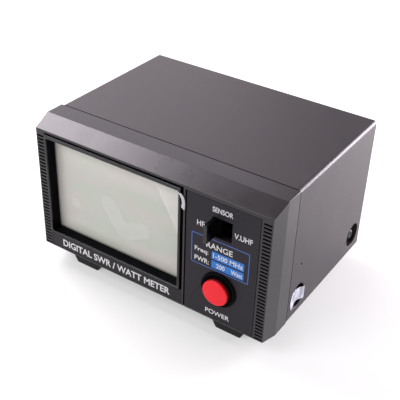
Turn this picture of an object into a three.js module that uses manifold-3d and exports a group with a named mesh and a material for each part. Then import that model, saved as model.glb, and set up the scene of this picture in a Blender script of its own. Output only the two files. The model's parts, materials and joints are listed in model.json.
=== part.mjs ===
// A desktop digital SWR and power meter for amateur radio, in millimetres, +Z up, front facing -Y.
// Built about the front face (y = 0) and the underside of the case (z = 0), then moved so that
// the origin is the middle of the whole object's footprint.
import * as THREE from "three";
import { mergeVertices } from "three/addons/utils/BufferGeometryUtils.js";
import Module from "manifold-3d";

const wasm = await Module();
wasm.setup();

// ---- Driving dimensions -------------------------------------------------------------------

// Case
const coverWidth = 154.4;
const coverTop = 85.2;
const caseDepth = 115.4; // front face to the back edge of the cover
const sheet = 1; // steel cover and chassis
const foldRadius = 2.2; // outside bend of the cover
const caseFit = 0.3; // between the cover and what sits inside it
const seat = 0.1; // between faces that rest on each other
const undersideLift = 0.3; // the steel clears the plane of the moulded front's underside
const rearInset = 1; // the rear wall sits inside the cover's back edge

// Moulded front
const frontProud = 0.2; // the front stands out beyond the cover all round
const frontDepth = 23.2;
const seam = 0.7; // open line between the front and the cover
const bevelDepth = 11.4;
const bevelTop = 4.7;
const bevelSide = 1.4;
const bevelBottom = 2.45;
const faceThickness = 4.2;
const frontWall = 2;
const tongueLength = 5.5; // collar that slides under the cover
const tongueWall = 1.6;
const clipWidth = 12;
const clipReach = 4;
const clipAcross = 40; // half the distance between the two clips
const postStart = 1; // posts for the selector start this far behind the panel's recess
const earHoleStart = 0.6; // and the holes in them this far behind it
const boardHoleDepth = 7; // screw holes in the posts of the display board

// Flat face, measured inwards from its edges
const topMargin = 2.2;
const bottomMargin = 0.85;
const ribMargin = 0.6;
const ribWidth = 4.6; // ribbed column at each end
const ribPitch = 2.2;
const ribGroove = 1.1;
const ribDepth = 0.9;
const displayBar = 0.5; // between the left ribs and the display
const panelBar = 1.2; // between the control panel and the right ribs
const middleBar = 1.2; // upright bar between the display and the control panel
const fineGroove = 0.3;
const wideGroove = 0.8;
const rimSide = 1.3; // face of the display surround
const rimTop = 2.15;
const rimProud = 0.6;
const sideGroove = 1.5; // open groove at the right of the surround
const topGroove = 1.05; // and above it
const panelWidth = 43.2;
const panelThickness = 2;
const stripHeight = 9.1;
const stripBar = 0.3; // between the title strip and the display
const stripThickness = 1;

// Display
const displayDepth = 6.5; // from the face back to the glass
const displayOverlap = 1.6; // the glass reaches this far behind the surround
const glassThickness = 2.6;
const backlightThickness = 4;
const boardThickness = 1.6;
const boardMargin = 5.4; // the board past the glass above and below
const boardOverhang = 1.8; // the board past the glass at its two ends
const backlightTrim = 1; // the light guide is smaller than the glass all round
const chipSide = 11;
const chipHeight = 1.4;
const chipAcross = 40; // from the glass's left edge
const chipRise = 28; // from its lower edge
const headerAcross = 9;
const headerRise = 8;
const headerLength = 22;
const headerHeight = 5;
const headerDepth = 6; // behind the board
const boardScrewLength = 7;
const postRadius = 2.3;
const postInset = 6;
const filmThickness = 0.2;
const filmGap = 0.15;
const tabHeight = 8.4;
const tabDrop = 2.2; // tab below the top of the window
const tabReach = 2.9;

// Power button
const buttonRise = 21.5; // above the panel's lower edge
const capRadius = 7.7;
const capProud = 4.6;
const capDepth = 5.4;
const capEdge = 0.7; // rounded edge of the cap's face
const capSocketDepth = 3.4; // square socket for the plunger
const arcShare = 0.3; // middle point of a rounded edge, as a share of its radius
const buttonTravel = 3;
const slideFit = 0.3;
const collarWall = 1.3;
const collarFlange = 10.6;
const collarProud = 1.3;
const collarLength = 12.5;
const collarLip = 0.9; // sloped edges of the collar's flange
const nutThickness = 3;
const nutAcross = 24;
const plungerSide = 6.4;
const plungerEnd = 19;
const switchSide = 16;
const switchLength = 15;
const tagLength = 6;
const tagWidth = 2.8;
const tagThickness = 0.8;

// Band selector
const slotDrop = 9.5; // below the panel's upper edge
const slotWidth = 12;
const slotHeight = 12;
const bladeThickness = 2.2;
const bladeProud = 8.4;
const bladeEndGap = 0.3;
const bladeSideGap = 0.6;
const baseWidth = 5.4;
const baseBack = 6;
const pocketWall = 1.2; // in front of the pocket for the slider's tongue
const tongueThickness = 2.4;
const tongueHeight = 5.4;
const sliderLength = 5;
const selectorWall = 1.6;
const selectorDepth = 7.6;
const pinSide = 0.9;
const pinLength = 4;
const pinPitch = 4.5; // along the switch
const pinRow = 2.5; // from the middle to each row of pins
const selectorScrewLength = 4;

// Feet
const footHeight = 9.6;
const footWidth = 15.8;
const footFlare = 5.4; // each end leans out by this much up to its top
const footLength = 14;
const footInset = 27.1; // middle of a foot from the side of the front
const frontFootStart = 7.4;
const rearFootInset = 6;
const footBore = 4.4;
const footHeadDepth = 3;

// Cover screws in drawn cups
const cupRadius = 7.5;
const cupDepth = 2.6;
const cupFrontInset = 10.5; // from the cover's front edge
const cupRearInset = 11;
const cupHeight = 12;
const tabWidth = 16;
const tabTall = 22;
const coverScrewEnd = 2.2; // the screw past the cup's floor

// Small holes in the cover's sides
const pinholeRadius = 0.75;
const pinholeSides = 12;
const pinholeInset = 11;
const pinholeHeight = 33.3;

// Seal over the front right cup
const sealLength = 16.2;
const sealHeight = 12.9;
const sealThickness = 0.15;

// Rear sockets, of the standard screw-on radio pattern
const socketAcross = 28;
const flangeSide = 25.4;
const flangeThickness = 1.7;
const flangeHoles = 18.3;
const threadRadius = 7.94;
const threadLength = 15;
const socketBore = 6;
const mouthDepth = 5.5;
const contactRadius = 3;
const contactBore = 2.05;
const contactBoreDepth = 9;
const stubRadius = 1.6;
const stubLength = 9;
const panelClear = 6.6;
const contactShoulder = 1; // the contact widens this far behind the rear wall's inner face
const contactSides = 24;

// Supply inlet
const inletInset = 17.9; // from the inside of the cover
const inletHeight = 22;
const inletRadius = 3.9;
const inletFlange = 5.4;
const inletBore = 2.85;
const inletPin = 1.05;
const inletReach = 9;
const inletBack = 11;
const inletNut = 11;
const inletNutThickness = 2;
const inletProud = 1.5;
const inletPinDrop = 1; // the pin's tip below the rim
const inletPinSides = 12;
const inletSides = 24;
const inletTagAcross = 2; // each tag from the inlet's middle

// Directional coupler
const couplerMargin = 1.3; // past the socket flanges at each end
const couplerRise = 2.3; // past them above and below
const couplerDepth = 27;
const couplerSheet = 0.8;
const lineRadius = 2.2;
const lineSides = 20;
const lineClear = 2.5; // between the through line and the pick-up board
const couplerHole = 2.3; // radius of the holes that clear the socket screws
const couplerBoardThickness = 1.2;

// Internal leads
const leadRadius = 1.5;
const leadSides = 8;
const leadSteps = 30;
const leadLift = 2; // the leads' clearance over the floor
const leadGap = 0.3; // between a lead's end and what it goes to
// Their routes, as steps of [across, back, up] from the place that each list names
const sensorFromLid = [[0, 2, 0], [0, -3, 0], [0, -6, 0], [0, -12, -8]];
const sensorBelowLid = [[-4, -14, 8], [-12, -22, 0]];
const sensorToBoard = [
  [-30, 26, 0],
  [-34, 14, 8],
  [-34, 8, 24],
  [-34, 5, 26],
  [-34, 3, 26],
  [-34, leadGap, 26],
];
const powerFromInlet = [[0, -leadGap, 0], [0, -6, 0]];
const powerBelowInlet = [[0, -12, 4], [-2, -20, 0]];
const powerBelowSwitch = [[4, 20, 0], [0, 12, 5]];
const powerToSwitch = [[0, 6, 0], [0, leadGap, 0]];

// Screws
const screwSides = 12;
const shankRadius = 1.4;
const holeRadius = 1.7;
const headRadius = 2.8;
const headHeight = 1.7;
const headFlat = 0.6; // share of the head, across and down, before its rounded edge
const screwGrip = 4; // of the foot and flange screws, past the parts they hold

// Drawing
const past = 1; // a cutting shape runs this far beyond the face that it opens
const sink = 0.2; // a joined shape starts this far inside the one it stands on
const weld = 1e-4; // closer points are one point
const foldSegments = 3; // facets of a folded corner inside the case
const holeSides = 16;
const postSides = 20;
const hexagon = 6;

// ---- Values that follow from them ---------------------------------------------------------

const coverHalf = coverWidth / 2;
const coverInner = coverHalf - sheet;
const insideHalf = coverInner - caseFit;
const frontHalf = coverHalf + frontProud;
const frontTop = coverTop + frontProud;
const faceHalf = frontHalf - bevelSide;
const faceTop = frontTop - bevelTop;
const coverStart = frontDepth + seam;
const rearOutside = caseDepth - rearInset;
const rearInside = rearOutside - sheet;
const floorTop = undersideLift + sheet;

const ribInner = faceHalf - ribMargin - ribWidth;
const layoutTop = faceTop - topMargin;
const layoutBottom = bevelBottom + bottomMargin;
const panelRight = ribInner - panelBar - fineGroove;
const panelLeft = panelRight - panelWidth;
const panelCutLeft = panelLeft - wideGroove;
const panelMiddle = (panelLeft + panelRight) / 2;
const stripTop = layoutBottom + stripHeight;

// The opening for the display, the surround in it, and the window in the surround
const cutLeft = displayBar - ribInner;
const cutRight = panelCutLeft - middleBar;
const cutBottom = stripTop + stripBar;
const cutTop = layoutTop + wideGroove;
const shroudLeft = cutLeft + fineGroove / 2;
const shroudRight = cutRight - sideGroove;
const shroudBottom = cutBottom + fineGroove / 2;
const shroudTop = cutTop - topGroove;
const windowLeft = cutLeft + rimSide;
const windowRight = shroudRight - rimSide;
const windowBottom = cutBottom + rimSide;
const windowTop = shroudTop - rimTop;

const glassLeft = windowLeft - displayOverlap;
const glassRight = windowRight + displayOverlap;
const glassBottom = windowBottom - displayOverlap;
const glassTop = windowTop + displayOverlap;
const glassFront = displayDepth + seat;
const backlightFront = glassFront + glassThickness + seat;
const boardFront = backlightFront + backlightThickness + seat;
const boardBack = boardFront + boardThickness;
const postHeights = [glassBottom - postRadius - seat, shroudTop + postRadius + seat];
const postAcross = [glassLeft + postInset, glassRight - postInset];

const buttonAcross = panelMiddle;
const buttonHeight = layoutBottom + buttonRise;
const collarBore = capRadius + slideFit;
const collarBarrel = collarBore + collarWall;
const collarHole = collarBarrel + seat;
const switchFront = collarLength + seat;
const plungerWell = plungerSide + 2 * slideFit;

const slotLeft = panelMiddle - slotWidth / 2;
const slotRight = slotLeft + slotWidth;
const slotBottom = layoutTop - slotDrop - slotHeight;
const slotMiddle = slotBottom + slotHeight / 2;
const bladeCentre = slotLeft + bladeEndGap + bladeThickness / 2;
const selectorTravel = slotWidth - bladeThickness - 2 * bladeEndGap;
const bladeHeight = slotHeight - 2 * bladeSideGap;
const wellLeft = bladeCentre - sliderLength / 2 - slideFit;
const wellRight = bladeCentre + selectorTravel + sliderLength / 2 + slideFit;
const sliderHeight = tongueHeight + 2 * slideFit;
const selectorFront = baseBack + slideFit;
const selectorEar = 2 * (headRadius + caseFit);
const selectorMiddle = (wellLeft + wellRight) / 2;
const selectorHalf = (wellRight - wellLeft) / 2 + selectorWall;
const earScrews = [-1, 1].map((side) => selectorMiddle + side * (selectorHalf + selectorEar / 2));

const cupPlaces = [coverStart + cupFrontInset, caseDepth - cupRearInset];
const tabOuter = coverHalf - cupDepth - sheet - seat;
const footAcross = frontHalf - footInset;
const inletAcross = insideHalf - inletInset;
const socketHeight = coverTop / 2;
const socketFace = rearOutside + seat + flangeThickness;
const socketEnd = socketFace + threadLength;
const insulatorFace = socketEnd - mouthDepth;
const couplerBack = rearInside - seat;
const couplerFront = couplerBack - couplerDepth;
const couplerHalf = socketAcross + flangeSide / 2 + couplerMargin;
const couplerLow = socketHeight - flangeSide / 2 - couplerRise;
const couplerHigh = socketHeight + flangeSide / 2 + couplerRise;
const lineDepth = couplerBack - stubLength;

const frontMost = -bladeProud;
const middleY = (frontMost + socketEnd) / 2;

// ---- Materials ----------------------------------------------------------------------------

const finish = (color, roughness, metalness = 0) =>
  new THREE.MeshStandardMaterial({ color, roughness, metalness });
const mouldedBlack = finish(0x2c2a2e, 0.55);
const panelBlack = finish(0x343135, 0.6);
const surroundBlack = finish(0x141316, 0.35);
const powderCoat = finish(0x4a464b, 0.5);
const zincSteel = finish(0x9a9a96, 0.4, 0.8);
const blackRubber = finish(0x161616, 0.85);
const blackScrew = finish(0x1a1a1c, 0.4, 0.6);
const redPlastic = finish(0xe81c2c, 0.35);
const displayGlass = finish(0xc3c5bd, 0.2);
const lightGuide = finish(0xe6e6e0, 0.5);
const boardGreen = finish(0x1f5a34, 0.5);
const clearFilm = finish(0xd2d4cc, 0.25);
const paper = finish(0xe9e6df, 0.8);
const nickel = finish(0xb9b7b0, 0.25, 1);
const fluoroplastic = finish(0xe9e4d4, 0.5);
const brass = finish(0xb8934a, 0.3, 1);
const leadJacket = finish(0x202024, 0.6);

// ---- Shape helpers ------------------------------------------------------------------------

// Turns a closed three.js geometry into a solid that can be joined and cut.
function solid(geometry) {
  geometry.deleteAttribute("normal");
  geometry.deleteAttribute("uv");
  const merged = mergeVertices(geometry, weld);
  return new wasm.Manifold(
    new wasm.Mesh({
      numProp: 3,
      vertProperties: merged.attributes.position.array,
      triVerts: new Uint32Array(merged.index.array),
    }),
  );
}

// A block between two limits on each axis.
function block([x0, x1], [y0, y1], [z0, z1]) {
  const box = new THREE.BoxGeometry(x1 - x0, y1 - y0, z1 - z0);
  return solid(box.translate((x0 + x1) / 2, (y0 + y1) / 2, (z0 + z1) / 2));
}

// A block whose front and back ends are different rectangles: each is [x0, x1, z0, z1].
function taperedBlock(front, back, y0, y1) {
  const box = new THREE.BoxGeometry(1, 1, 1);
  const at = box.attributes.position;
  for (let i = 0; i < at.count; i += 1) {
    const isFront = at.getY(i) < 0;
    const [x0, x1, z0, z1] = isFront ? front : back;
    at.setXYZ(i, at.getX(i) < 0 ? x0 : x1, isFront ? y0 : y1, at.getZ(i) < 0 ? z0 : z1);
  }
  return solid(box);
}

// A round bar along Y.
function barY(x, z, radius, y0, y1, sides = 32) {
  const bar = new THREE.CylinderGeometry(radius, radius, y1 - y0, sides);
  return solid(bar.translate(x, (y0 + y1) / 2, z));
}

// A round bar along Z.
function barZ(x, y, radius, z0, z1, sides = 24) {
  const bar = new THREE.CylinderGeometry(radius, radius, z1 - z0, sides).rotateX(Math.PI / 2);
  return solid(bar.translate(x, y, (z0 + z1) / 2));
}

// A round bar along X.
function barX(y, z, radius, x0, x1, sides = 24) {
  const bar = new THREE.CylinderGeometry(radius, radius, x1 - x0, sides).rotateZ(Math.PI / 2);
  return solid(bar.translate((x0 + x1) / 2, y, z));
}

// A turned shape about Y from a closed profile of [radius, y] points, listed anticlockwise.
function turned(profile, sides = 40) {
  return solid(new THREE.LatheGeometry(profile.map(([r, y]) => new THREE.Vector2(r, y)), sides));
}

// An outline in X and Z carried along Y from y0 to y1.
function carriedAlongY(outline, y0, y1, curveSegments = 6) {
  const options = { depth: y1 - y0, bevelEnabled: false, curveSegments };
  return solid(new THREE.ExtrudeGeometry(outline, options).rotateX(Math.PI / 2).translate(0, y1, 0));
}

// The space inside the cover from a height up, with its own small clearance and rounded top corners.
function insideCover(low) {
  const corner = foldRadius - sheet;
  const high = coverTop - sheet - caseFit;
  const outline = new THREE.Shape();
  outline.moveTo(-insideHalf, low);
  outline.lineTo(insideHalf, low);
  outline.absarc(insideHalf - corner, high - corner, corner, 0, Math.PI / 2, false);
  outline.absarc(-insideHalf + corner, high - corner, corner, Math.PI / 2, Math.PI, false);
  outline.closePath();
  return outline;
}

// A pan head on a plain shank: the shank points along +Y from y = 0, the head stands at -Y.
function screwGeometry(length) {
  const dome = headHeight * headFlat;
  const profile = [
    [0, -headHeight],
    [headRadius * headFlat, -headHeight],
    [headRadius, -dome],
    [headRadius, 0],
    [shankRadius, 0],
    [shankRadius, length],
    [0, length],
  ];
  return new THREE.LatheGeometry(profile.map(([r, y]) => new THREE.Vector2(r, y)), screwSides);
}

const group = new THREE.Group();
group.position.set(0, -middleY, footHeight);

// Adds one finished piece to the object.
function piece(name, shape, material) {
  const { numProp, vertProperties, triVerts } = shape.getMesh();
  const geometry = new THREE.BufferGeometry();
  const points = new Float32Array((vertProperties.length / numProp) * 3);
  for (let i = 0; i < points.length / 3; i += 1) {
    points.set(vertProperties.subarray(i * numProp, i * numProp + 3), i * 3);
  }
  geometry.setAttribute("position", new THREE.BufferAttribute(points, 3));
  geometry.setIndex(new THREE.BufferAttribute(triVerts, 1));
  geometry.computeVertexNormals();
  const mesh = new THREE.Mesh(geometry, material);
  mesh.name = name;
  group.add(mesh);
}

// Adds a screw with its head's underside at a point, driven towards a direction.
function screw(name, [x, y, z], direction, length, material = blackScrew) {
  const geometry = screwGeometry(length);
  const turn = new THREE.Quaternion().setFromUnitVectors(new THREE.Vector3(0, 1, 0), direction);
  geometry.applyQuaternion(turn).translate(x, y, z);
  piece(name, solid(geometry), material);
}

const outwards = new THREE.Vector3(0, -1, 0);
const upwards = new THREE.Vector3(0, 0, 1);

// Runs a function for the left (-1) and right (1) side.
const bothSides = (make) => [-1, 1].forEach((side) => make(side, side < 0 ? "left" : "right"));

// ---- Moulded front ------------------------------------------------------------------------

// The outside of the front at a distance in from its skin, as [x0, x1, z0, z1] on a plane y.
function frontOutline(y, inset) {
  const back = Math.min(y / bevelDepth, 1);
  const half = faceHalf + bevelSide * back - inset;
  return [-half, half, bevelBottom * (1 - back) + inset, faceTop + bevelTop * back - inset];
}

// The whole front as if it were solid.
function frontEnvelope() {
  const bevelled = taperedBlock(frontOutline(0, 0), frontOutline(bevelDepth, 0), 0, bevelDepth);
  const [x0, x1, z0, z1] = frontOutline(bevelDepth, 0);
  return bevelled.add(block([x0, x1], [bevelDepth, frontDepth], [z0, z1]));
}

function frontBody() {
  const hollowFront = taperedBlock(
    frontOutline(faceThickness, frontWall),
    frontOutline(bevelDepth, frontWall),
    faceThickness,
    bevelDepth,
  );
  const [a0, a1, c0, c1] = frontOutline(bevelDepth, frontWall);
  const hollow = hollowFront.add(block([a0, a1], [bevelDepth, frontDepth], [c0, c1]));
  return frontEnvelope().subtract(hollow);
}

// The collar behind the front, which slides under the cover and over the chassis floor.
function frontTongue() {
  const end = frontDepth + tongueLength;
  const low = floorTop + seat;
  const high = coverTop - sheet - caseFit;
  const root = frontDepth - frontWall;
  const half = insideHalf - tongueWall;
  let tongue = carriedAlongY(insideCover(low), root, end, foldSegments).subtract(
    block([-half, half], [root - past, end + past], [low + tongueWall, high - tongueWall]),
  );
  bothSides((side) => {
    const across = [side * (coverHalf + past), side * (half - past)].sort((a, b) => a - b);
    tongue = tongue.subtract(barX(cupPlaces[0], cupHeight, cupRadius + sheet + caseFit, ...across));
  });
  return tongue;
}

// One clip under the tongue, which drops into a slot in the chassis floor.
const clipPlace = frontDepth + tongueLength - clipReach / 2;
const clip = (side) =>
  block(
    [side * clipAcross - clipWidth / 2, side * clipAcross + clipWidth / 2],
    [clipPlace - clipReach / 2 + caseFit, clipPlace + clipReach / 2],
    [undersideLift + seat, floorTop + tongueWall],
  );

// The grooves between the ribs at one end of the face.
function ribGrooves(side) {
  const count = Math.floor((layoutTop - layoutBottom - ribGroove) / ribPitch) + 1;
  const ends = [side * ribInner, side * (ribInner + ribWidth)].sort((a, b) => a - b);
  return Array.from({ length: count }, (_, i) => {
    const low = layoutBottom + i * ribPitch;
    return block(ends, [-past, ribDepth], [low, low + ribGroove]);
  });
}

function makeFront() {
  let front = frontBody().add(frontTongue()).add(clip(-1)).add(clip(1));
  const through = [-past, faceThickness + past];
  const cuts = [
    block([cutLeft, cutRight], through, [cutBottom, cutTop]),
    block([panelCutLeft, panelRight + fineGroove], [-past, panelThickness + seat], [layoutBottom, layoutTop]),
    block([cutLeft, cutRight], [-past, stripThickness + seat], [layoutBottom, stripTop]),
    barY(buttonAcross, buttonHeight, collarHole, ...through),
    block(
      [bladeCentre - baseWidth / 2 - slideFit, bladeCentre + selectorTravel + baseWidth / 2 + slideFit],
      through,
      [slotBottom - slideFit, slotBottom + slotHeight + slideFit],
    ),
    ...ribGrooves(-1),
    ...ribGrooves(1),
  ];
  const posts = postAcross.flatMap((x) =>
    postHeights.map((z) => barY(x, z, postRadius, faceThickness, boardFront - seat, postSides)),
  );
  const earPosts = earScrews.map((x) =>
    barY(x, slotMiddle, selectorEar / 2, panelThickness + postStart, selectorFront - seat, postSides),
  );
  for (const cut of cuts) front = front.subtract(cut);
  const envelope = frontEnvelope();
  for (const post of [...posts, ...earPosts]) front = front.add(post.intersect(envelope));
  const bore = shankRadius + seat;
  const footScrewY = frontFootStart + footLength / 2;
  const screwHoles = [
    ...postAcross.flatMap((x) =>
      postHeights.map((z) => barY(x, z, bore, boardFront - boardHoleDepth, boardFront, holeSides)),
    ),
    ...earScrews.map((x) =>
      barY(x, slotMiddle, bore, panelThickness + earHoleStart, selectorFront, holeSides),
    ),
    ...[-1, 1].map((side) =>
      barZ(side * footAcross, footScrewY, bore, -past, frontWall + past, holeSides),
    ),
  ];
  for (const hole of screwHoles) front = front.subtract(hole);
  piece("front_bezel", front, mouldedBlack);
}

function makeFacePlates() {
  const through = [-past, panelThickness + past];
  const panel = block(
    [panelLeft, panelRight],
    [seat, panelThickness],
    [layoutBottom + fineGroove, layoutTop - fineGroove],
  )
    .subtract(block([slotLeft, slotRight], through, [slotBottom, slotBottom + slotHeight]))
    .subtract(barY(buttonAcross, buttonHeight, collarHole, ...through));
  piece("control_panel", panel, panelBlack);
  const strip = block(
    [cutLeft + fineGroove, cutRight - fineGroove],
    [seat, stripThickness],
    [layoutBottom + fineGroove, stripTop - fineGroove],
  );
  piece("title_strip", strip, panelBlack);
}

// ---- Display ------------------------------------------------------------------------------

function makeDisplay() {
  const surround = block([shroudLeft, shroudRight], [-rimProud, displayDepth], [shroudBottom, shroudTop]);
  const flange = [faceThickness + seat, displayDepth];
  const backEdge = block([glassLeft, glassRight], flange, [glassBottom, glassTop]);
  const through = [-rimProud - past, displayDepth + past];
  const opening = block([windowLeft, windowRight], through, [windowBottom, windowTop]);
  piece("display_surround", surround.add(backEdge).subtract(opening), surroundBlack);

  const stack = (y0, thickness, trim) =>
    block([glassLeft + trim, glassRight - trim], [y0, y0 + thickness], [glassBottom + trim, glassTop - trim]);
  piece("display_glass", stack(glassFront, glassThickness, 0), displayGlass);
  piece("display_backlight", stack(backlightFront, backlightThickness, backlightTrim), lightGuide);

  const wide = [glassLeft - boardOverhang, glassRight + boardOverhang];
  let board = block(wide, [boardFront, boardBack], [glassBottom - boardMargin, glassTop + boardMargin]);
  const chipX = glassLeft + chipAcross;
  const chipZ = glassBottom + chipRise;
  const chip = block(
    [chipX, chipX + chipSide],
    [boardBack - sink, boardBack + chipHeight],
    [chipZ, chipZ + chipSide],
  );
  const headerX = glassLeft + headerAcross;
  const headerZ = glassBottom + headerRise;
  const header = block(
    [headerX, headerX + headerLength],
    [boardBack - sink, boardBack + headerDepth],
    [headerZ, headerZ + headerHeight],
  );
  board = board.add(chip).add(header);
  postAcross.forEach((x) =>
    postHeights.forEach((z) => {
      board = board.subtract(barY(x, z, holeRadius, boardFront - past, boardBack + past, holeSides));
    }),
  );
  piece("display_board", board, boardGreen);
  postAcross.forEach((x, i) =>
    postHeights.forEach((z, j) => {
      const name = `board_screw_${postHeights.length * i + j + 1}`;
      screw(name, [x, boardBack + seat, z], outwards, boardScrewLength, zincSteel);
    }),
  );
}

// The clear transit film on the glass, with the pull tab that bends forward over the surround.
function makeFilm() {
  const filmFront = displayDepth - filmGap - filmThickness;
  const right = windowRight - filmGap;
  const film = block(
    [windowLeft + filmGap, right],
    [filmFront, filmFront + filmThickness],
    [windowBottom + filmGap, windowTop - filmGap],
  );
  const tabZ = [windowTop - tabDrop - tabHeight, windowTop - tabDrop];
  const tabFront = -rimProud - filmGap - filmThickness;
  const upright = block([right - filmThickness, right], [tabFront, filmFront + filmThickness], tabZ);
  const flap = block([right - filmThickness, right + tabReach], [tabFront, tabFront + filmThickness], tabZ);
  piece("transit_film", film.add(upright).add(flap), clearFilm);
}

// ---- Power button -------------------------------------------------------------------------

// A bar of square section along Y at the button.
const squareBar = (side, y0, y1) =>
  block(
    [buttonAcross - side / 2, buttonAcross + side / 2],
    [y0, y1],
    [buttonHeight - side / 2, buttonHeight + side / 2],
  );

function makePowerButton() {
  const cap = turned([
    [0, -capProud],
    [capRadius - capEdge, -capProud],
    [capRadius - capEdge * arcShare, -capProud + capEdge * arcShare],
    [capRadius, -capProud + capEdge],
    [capRadius, capDepth],
    [0, capDepth],
  ]).translate([buttonAcross, 0, buttonHeight]);
  const socketFloor = capDepth - capSocketDepth;
  const socket = squareBar(plungerSide + 2 * seat, socketFloor, capDepth + past);
  piece("power_cap", cap.subtract(socket), redPlastic);
  piece("power_plunger", squareBar(plungerSide, socketFloor + seat, plungerEnd), surroundBlack);

  const collar = turned([
    [collarBore, -collarProud + collarLip],
    [collarBore + collarLip, -collarProud],
    [collarFlange - collarLip, -collarProud],
    [collarFlange, -collarProud + collarLip],
    [collarFlange, 0],
    [collarBarrel, 0],
    [collarBarrel, collarLength],
    [collarBore, collarLength],
    [collarBore, -collarProud + collarLip],
  ]).translate([buttonAcross, 0, buttonHeight]);
  piece("power_collar", collar, surroundBlack);

  const nut = barY(
    buttonAcross,
    buttonHeight,
    nutAcross / Math.sqrt(3),
    faceThickness + seat,
    faceThickness + seat + nutThickness,
    hexagon,
  ).subtract(barY(buttonAcross, buttonHeight, collarHole, 0, collarLength));
  piece("power_nut", nut, surroundBlack);

  let body = squareBar(switchSide, switchFront, switchFront + switchLength);
  body = body.subtract(squareBar(plungerWell, switchFront - past, plungerEnd + buttonTravel + slideFit));
  [-1, 1].forEach((side) => {
    const x = buttonAcross + (side * switchSide) / 4;
    const tag = block(
      [x - tagThickness / 2, x + tagThickness / 2],
      [switchFront + switchLength - sink, switchFront + switchLength + tagLength],
      [buttonHeight - tagWidth / 2, buttonHeight + tagWidth / 2],
    );
    body = body.add(tag);
  });
  piece("power_switch", body, surroundBlack);
}

// ---- Band selector ------------------------------------------------------------------------

// A bar along Y centred on the selector blade at rest.
const selectorBar = (width, height, y0, y1) =>
  block(
    [bladeCentre - width / 2, bladeCentre + width / 2],
    [y0, y1],
    [slotMiddle - height / 2, slotMiddle + height / 2],
  );

function makeSelector() {
  const baseFront = panelThickness + slideFit;
  const blade = selectorBar(bladeThickness, bladeHeight, -bladeProud, baseFront + sink);
  const base = selectorBar(baseWidth, bladeHeight, baseFront, baseBack);
  const pocketFloor = baseFront + pocketWall;
  const pocketSize = [tongueThickness + 2 * seat, tongueHeight + 2 * seat];
  const pocket = selectorBar(...pocketSize, pocketFloor, baseBack + past);
  piece("selector_knob", blade.add(base).subtract(pocket), surroundBlack);

  const sliderFront = selectorFront + slideFit;
  const sliderBack = selectorFront + selectorDepth - selectorWall - slideFit;
  const tongue = selectorBar(tongueThickness, tongueHeight, pocketFloor + seat, sliderFront + sink);
  piece(
    "selector_slider",
    tongue.add(selectorBar(sliderLength, sliderHeight, sliderFront, sliderBack)),
    fluoroplastic,
  );

  const high = sliderHeight + 2 * slideFit + 2 * selectorWall;
  const zRange = [slotMiddle - high / 2, slotMiddle + high / 2];
  const xRange = [selectorMiddle - selectorHalf, selectorMiddle + selectorHalf];
  let housing = block(xRange, [selectorFront, selectorFront + selectorDepth], zRange);
  const ears = block(
    [xRange[0] - selectorEar, xRange[1] + selectorEar],
    [selectorFront, selectorFront + sheet],
    zRange,
  );
  const well = block(
    [wellLeft, wellRight],
    [selectorFront - past, selectorFront + selectorDepth - selectorWall],
    [slotMiddle - sliderHeight / 2 - slideFit, slotMiddle + sliderHeight / 2 + slideFit],
  );
  housing = housing.add(ears).subtract(well);
  const earThrough = [selectorFront - past, selectorFront + sheet + past];
  earScrews.forEach((x) => {
    housing = housing.subtract(barY(x, slotMiddle, holeRadius, ...earThrough, holeSides));
  });
  const pinBack = selectorFront + selectorDepth;
  [-1, 0, 1].forEach((column) =>
    [-1, 1].forEach((row) => {
      const x = selectorMiddle + column * pinPitch;
      const z = slotMiddle + row * pinRow;
      const pin = block(
        [x - pinSide / 2, x + pinSide / 2],
        [pinBack - sink, pinBack + pinLength],
        [z - pinSide / 2, z + pinSide / 2],
      );
      housing = housing.add(pin);
    }),
  );
  piece("selector_switch", housing, surroundBlack);
  earScrews.forEach((x, i) => {
    const place = [x, selectorFront + sheet + seat, slotMiddle];
    screw(`selector_screw_${i + 1}`, place, outwards, selectorScrewLength, zincSteel);
  });
}

// ---- Steel cover and chassis --------------------------------------------------------------

function makeCover() {
  const inner = foldRadius - sheet;
  const outline = new THREE.Shape();
  outline.moveTo(-coverHalf, undersideLift);
  outline.lineTo(-coverInner, undersideLift);
  outline.lineTo(-coverInner, coverTop - foldRadius);
  outline.absarc(-coverInner + inner, coverTop - foldRadius, inner, Math.PI, Math.PI / 2, true);
  outline.absarc(coverInner - inner, coverTop - foldRadius, inner, Math.PI / 2, 0, true);
  outline.lineTo(coverInner, undersideLift);
  outline.lineTo(coverHalf, undersideLift);
  outline.absarc(coverHalf - foldRadius, coverTop - foldRadius, foldRadius, 0, Math.PI / 2, false);
  outline.absarc(-coverHalf + foldRadius, coverTop - foldRadius, foldRadius, Math.PI / 2, Math.PI, false);
  outline.closePath();
  let cover = carriedAlongY(outline, coverStart, caseDepth);
  bothSides((side) => {
    // Limits along X from the outside of this side inwards.
    const across = (out, into) => [side * (coverHalf - out), side * (coverHalf - into)].sort((a, b) => a - b);
    cupPlaces.forEach((y) => {
      cover = cover.add(barX(y, cupHeight, cupRadius + sheet, ...across(sheet / 2, cupDepth + sheet)));
      cover = cover.subtract(barX(y, cupHeight, cupRadius, ...across(-past, cupDepth)));
      cover = cover.subtract(
        barX(y, cupHeight, holeRadius, ...across(-past, cupDepth + sheet + past), holeSides),
      );
    });
    const pinholeY = coverStart + pinholeInset;
    cover = cover.subtract(
      barX(pinholeY, pinholeHeight, pinholeRadius, ...across(-past, sheet + past), pinholeSides),
    );
  });
  piece("top_cover", cover, powderCoat);
}

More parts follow.
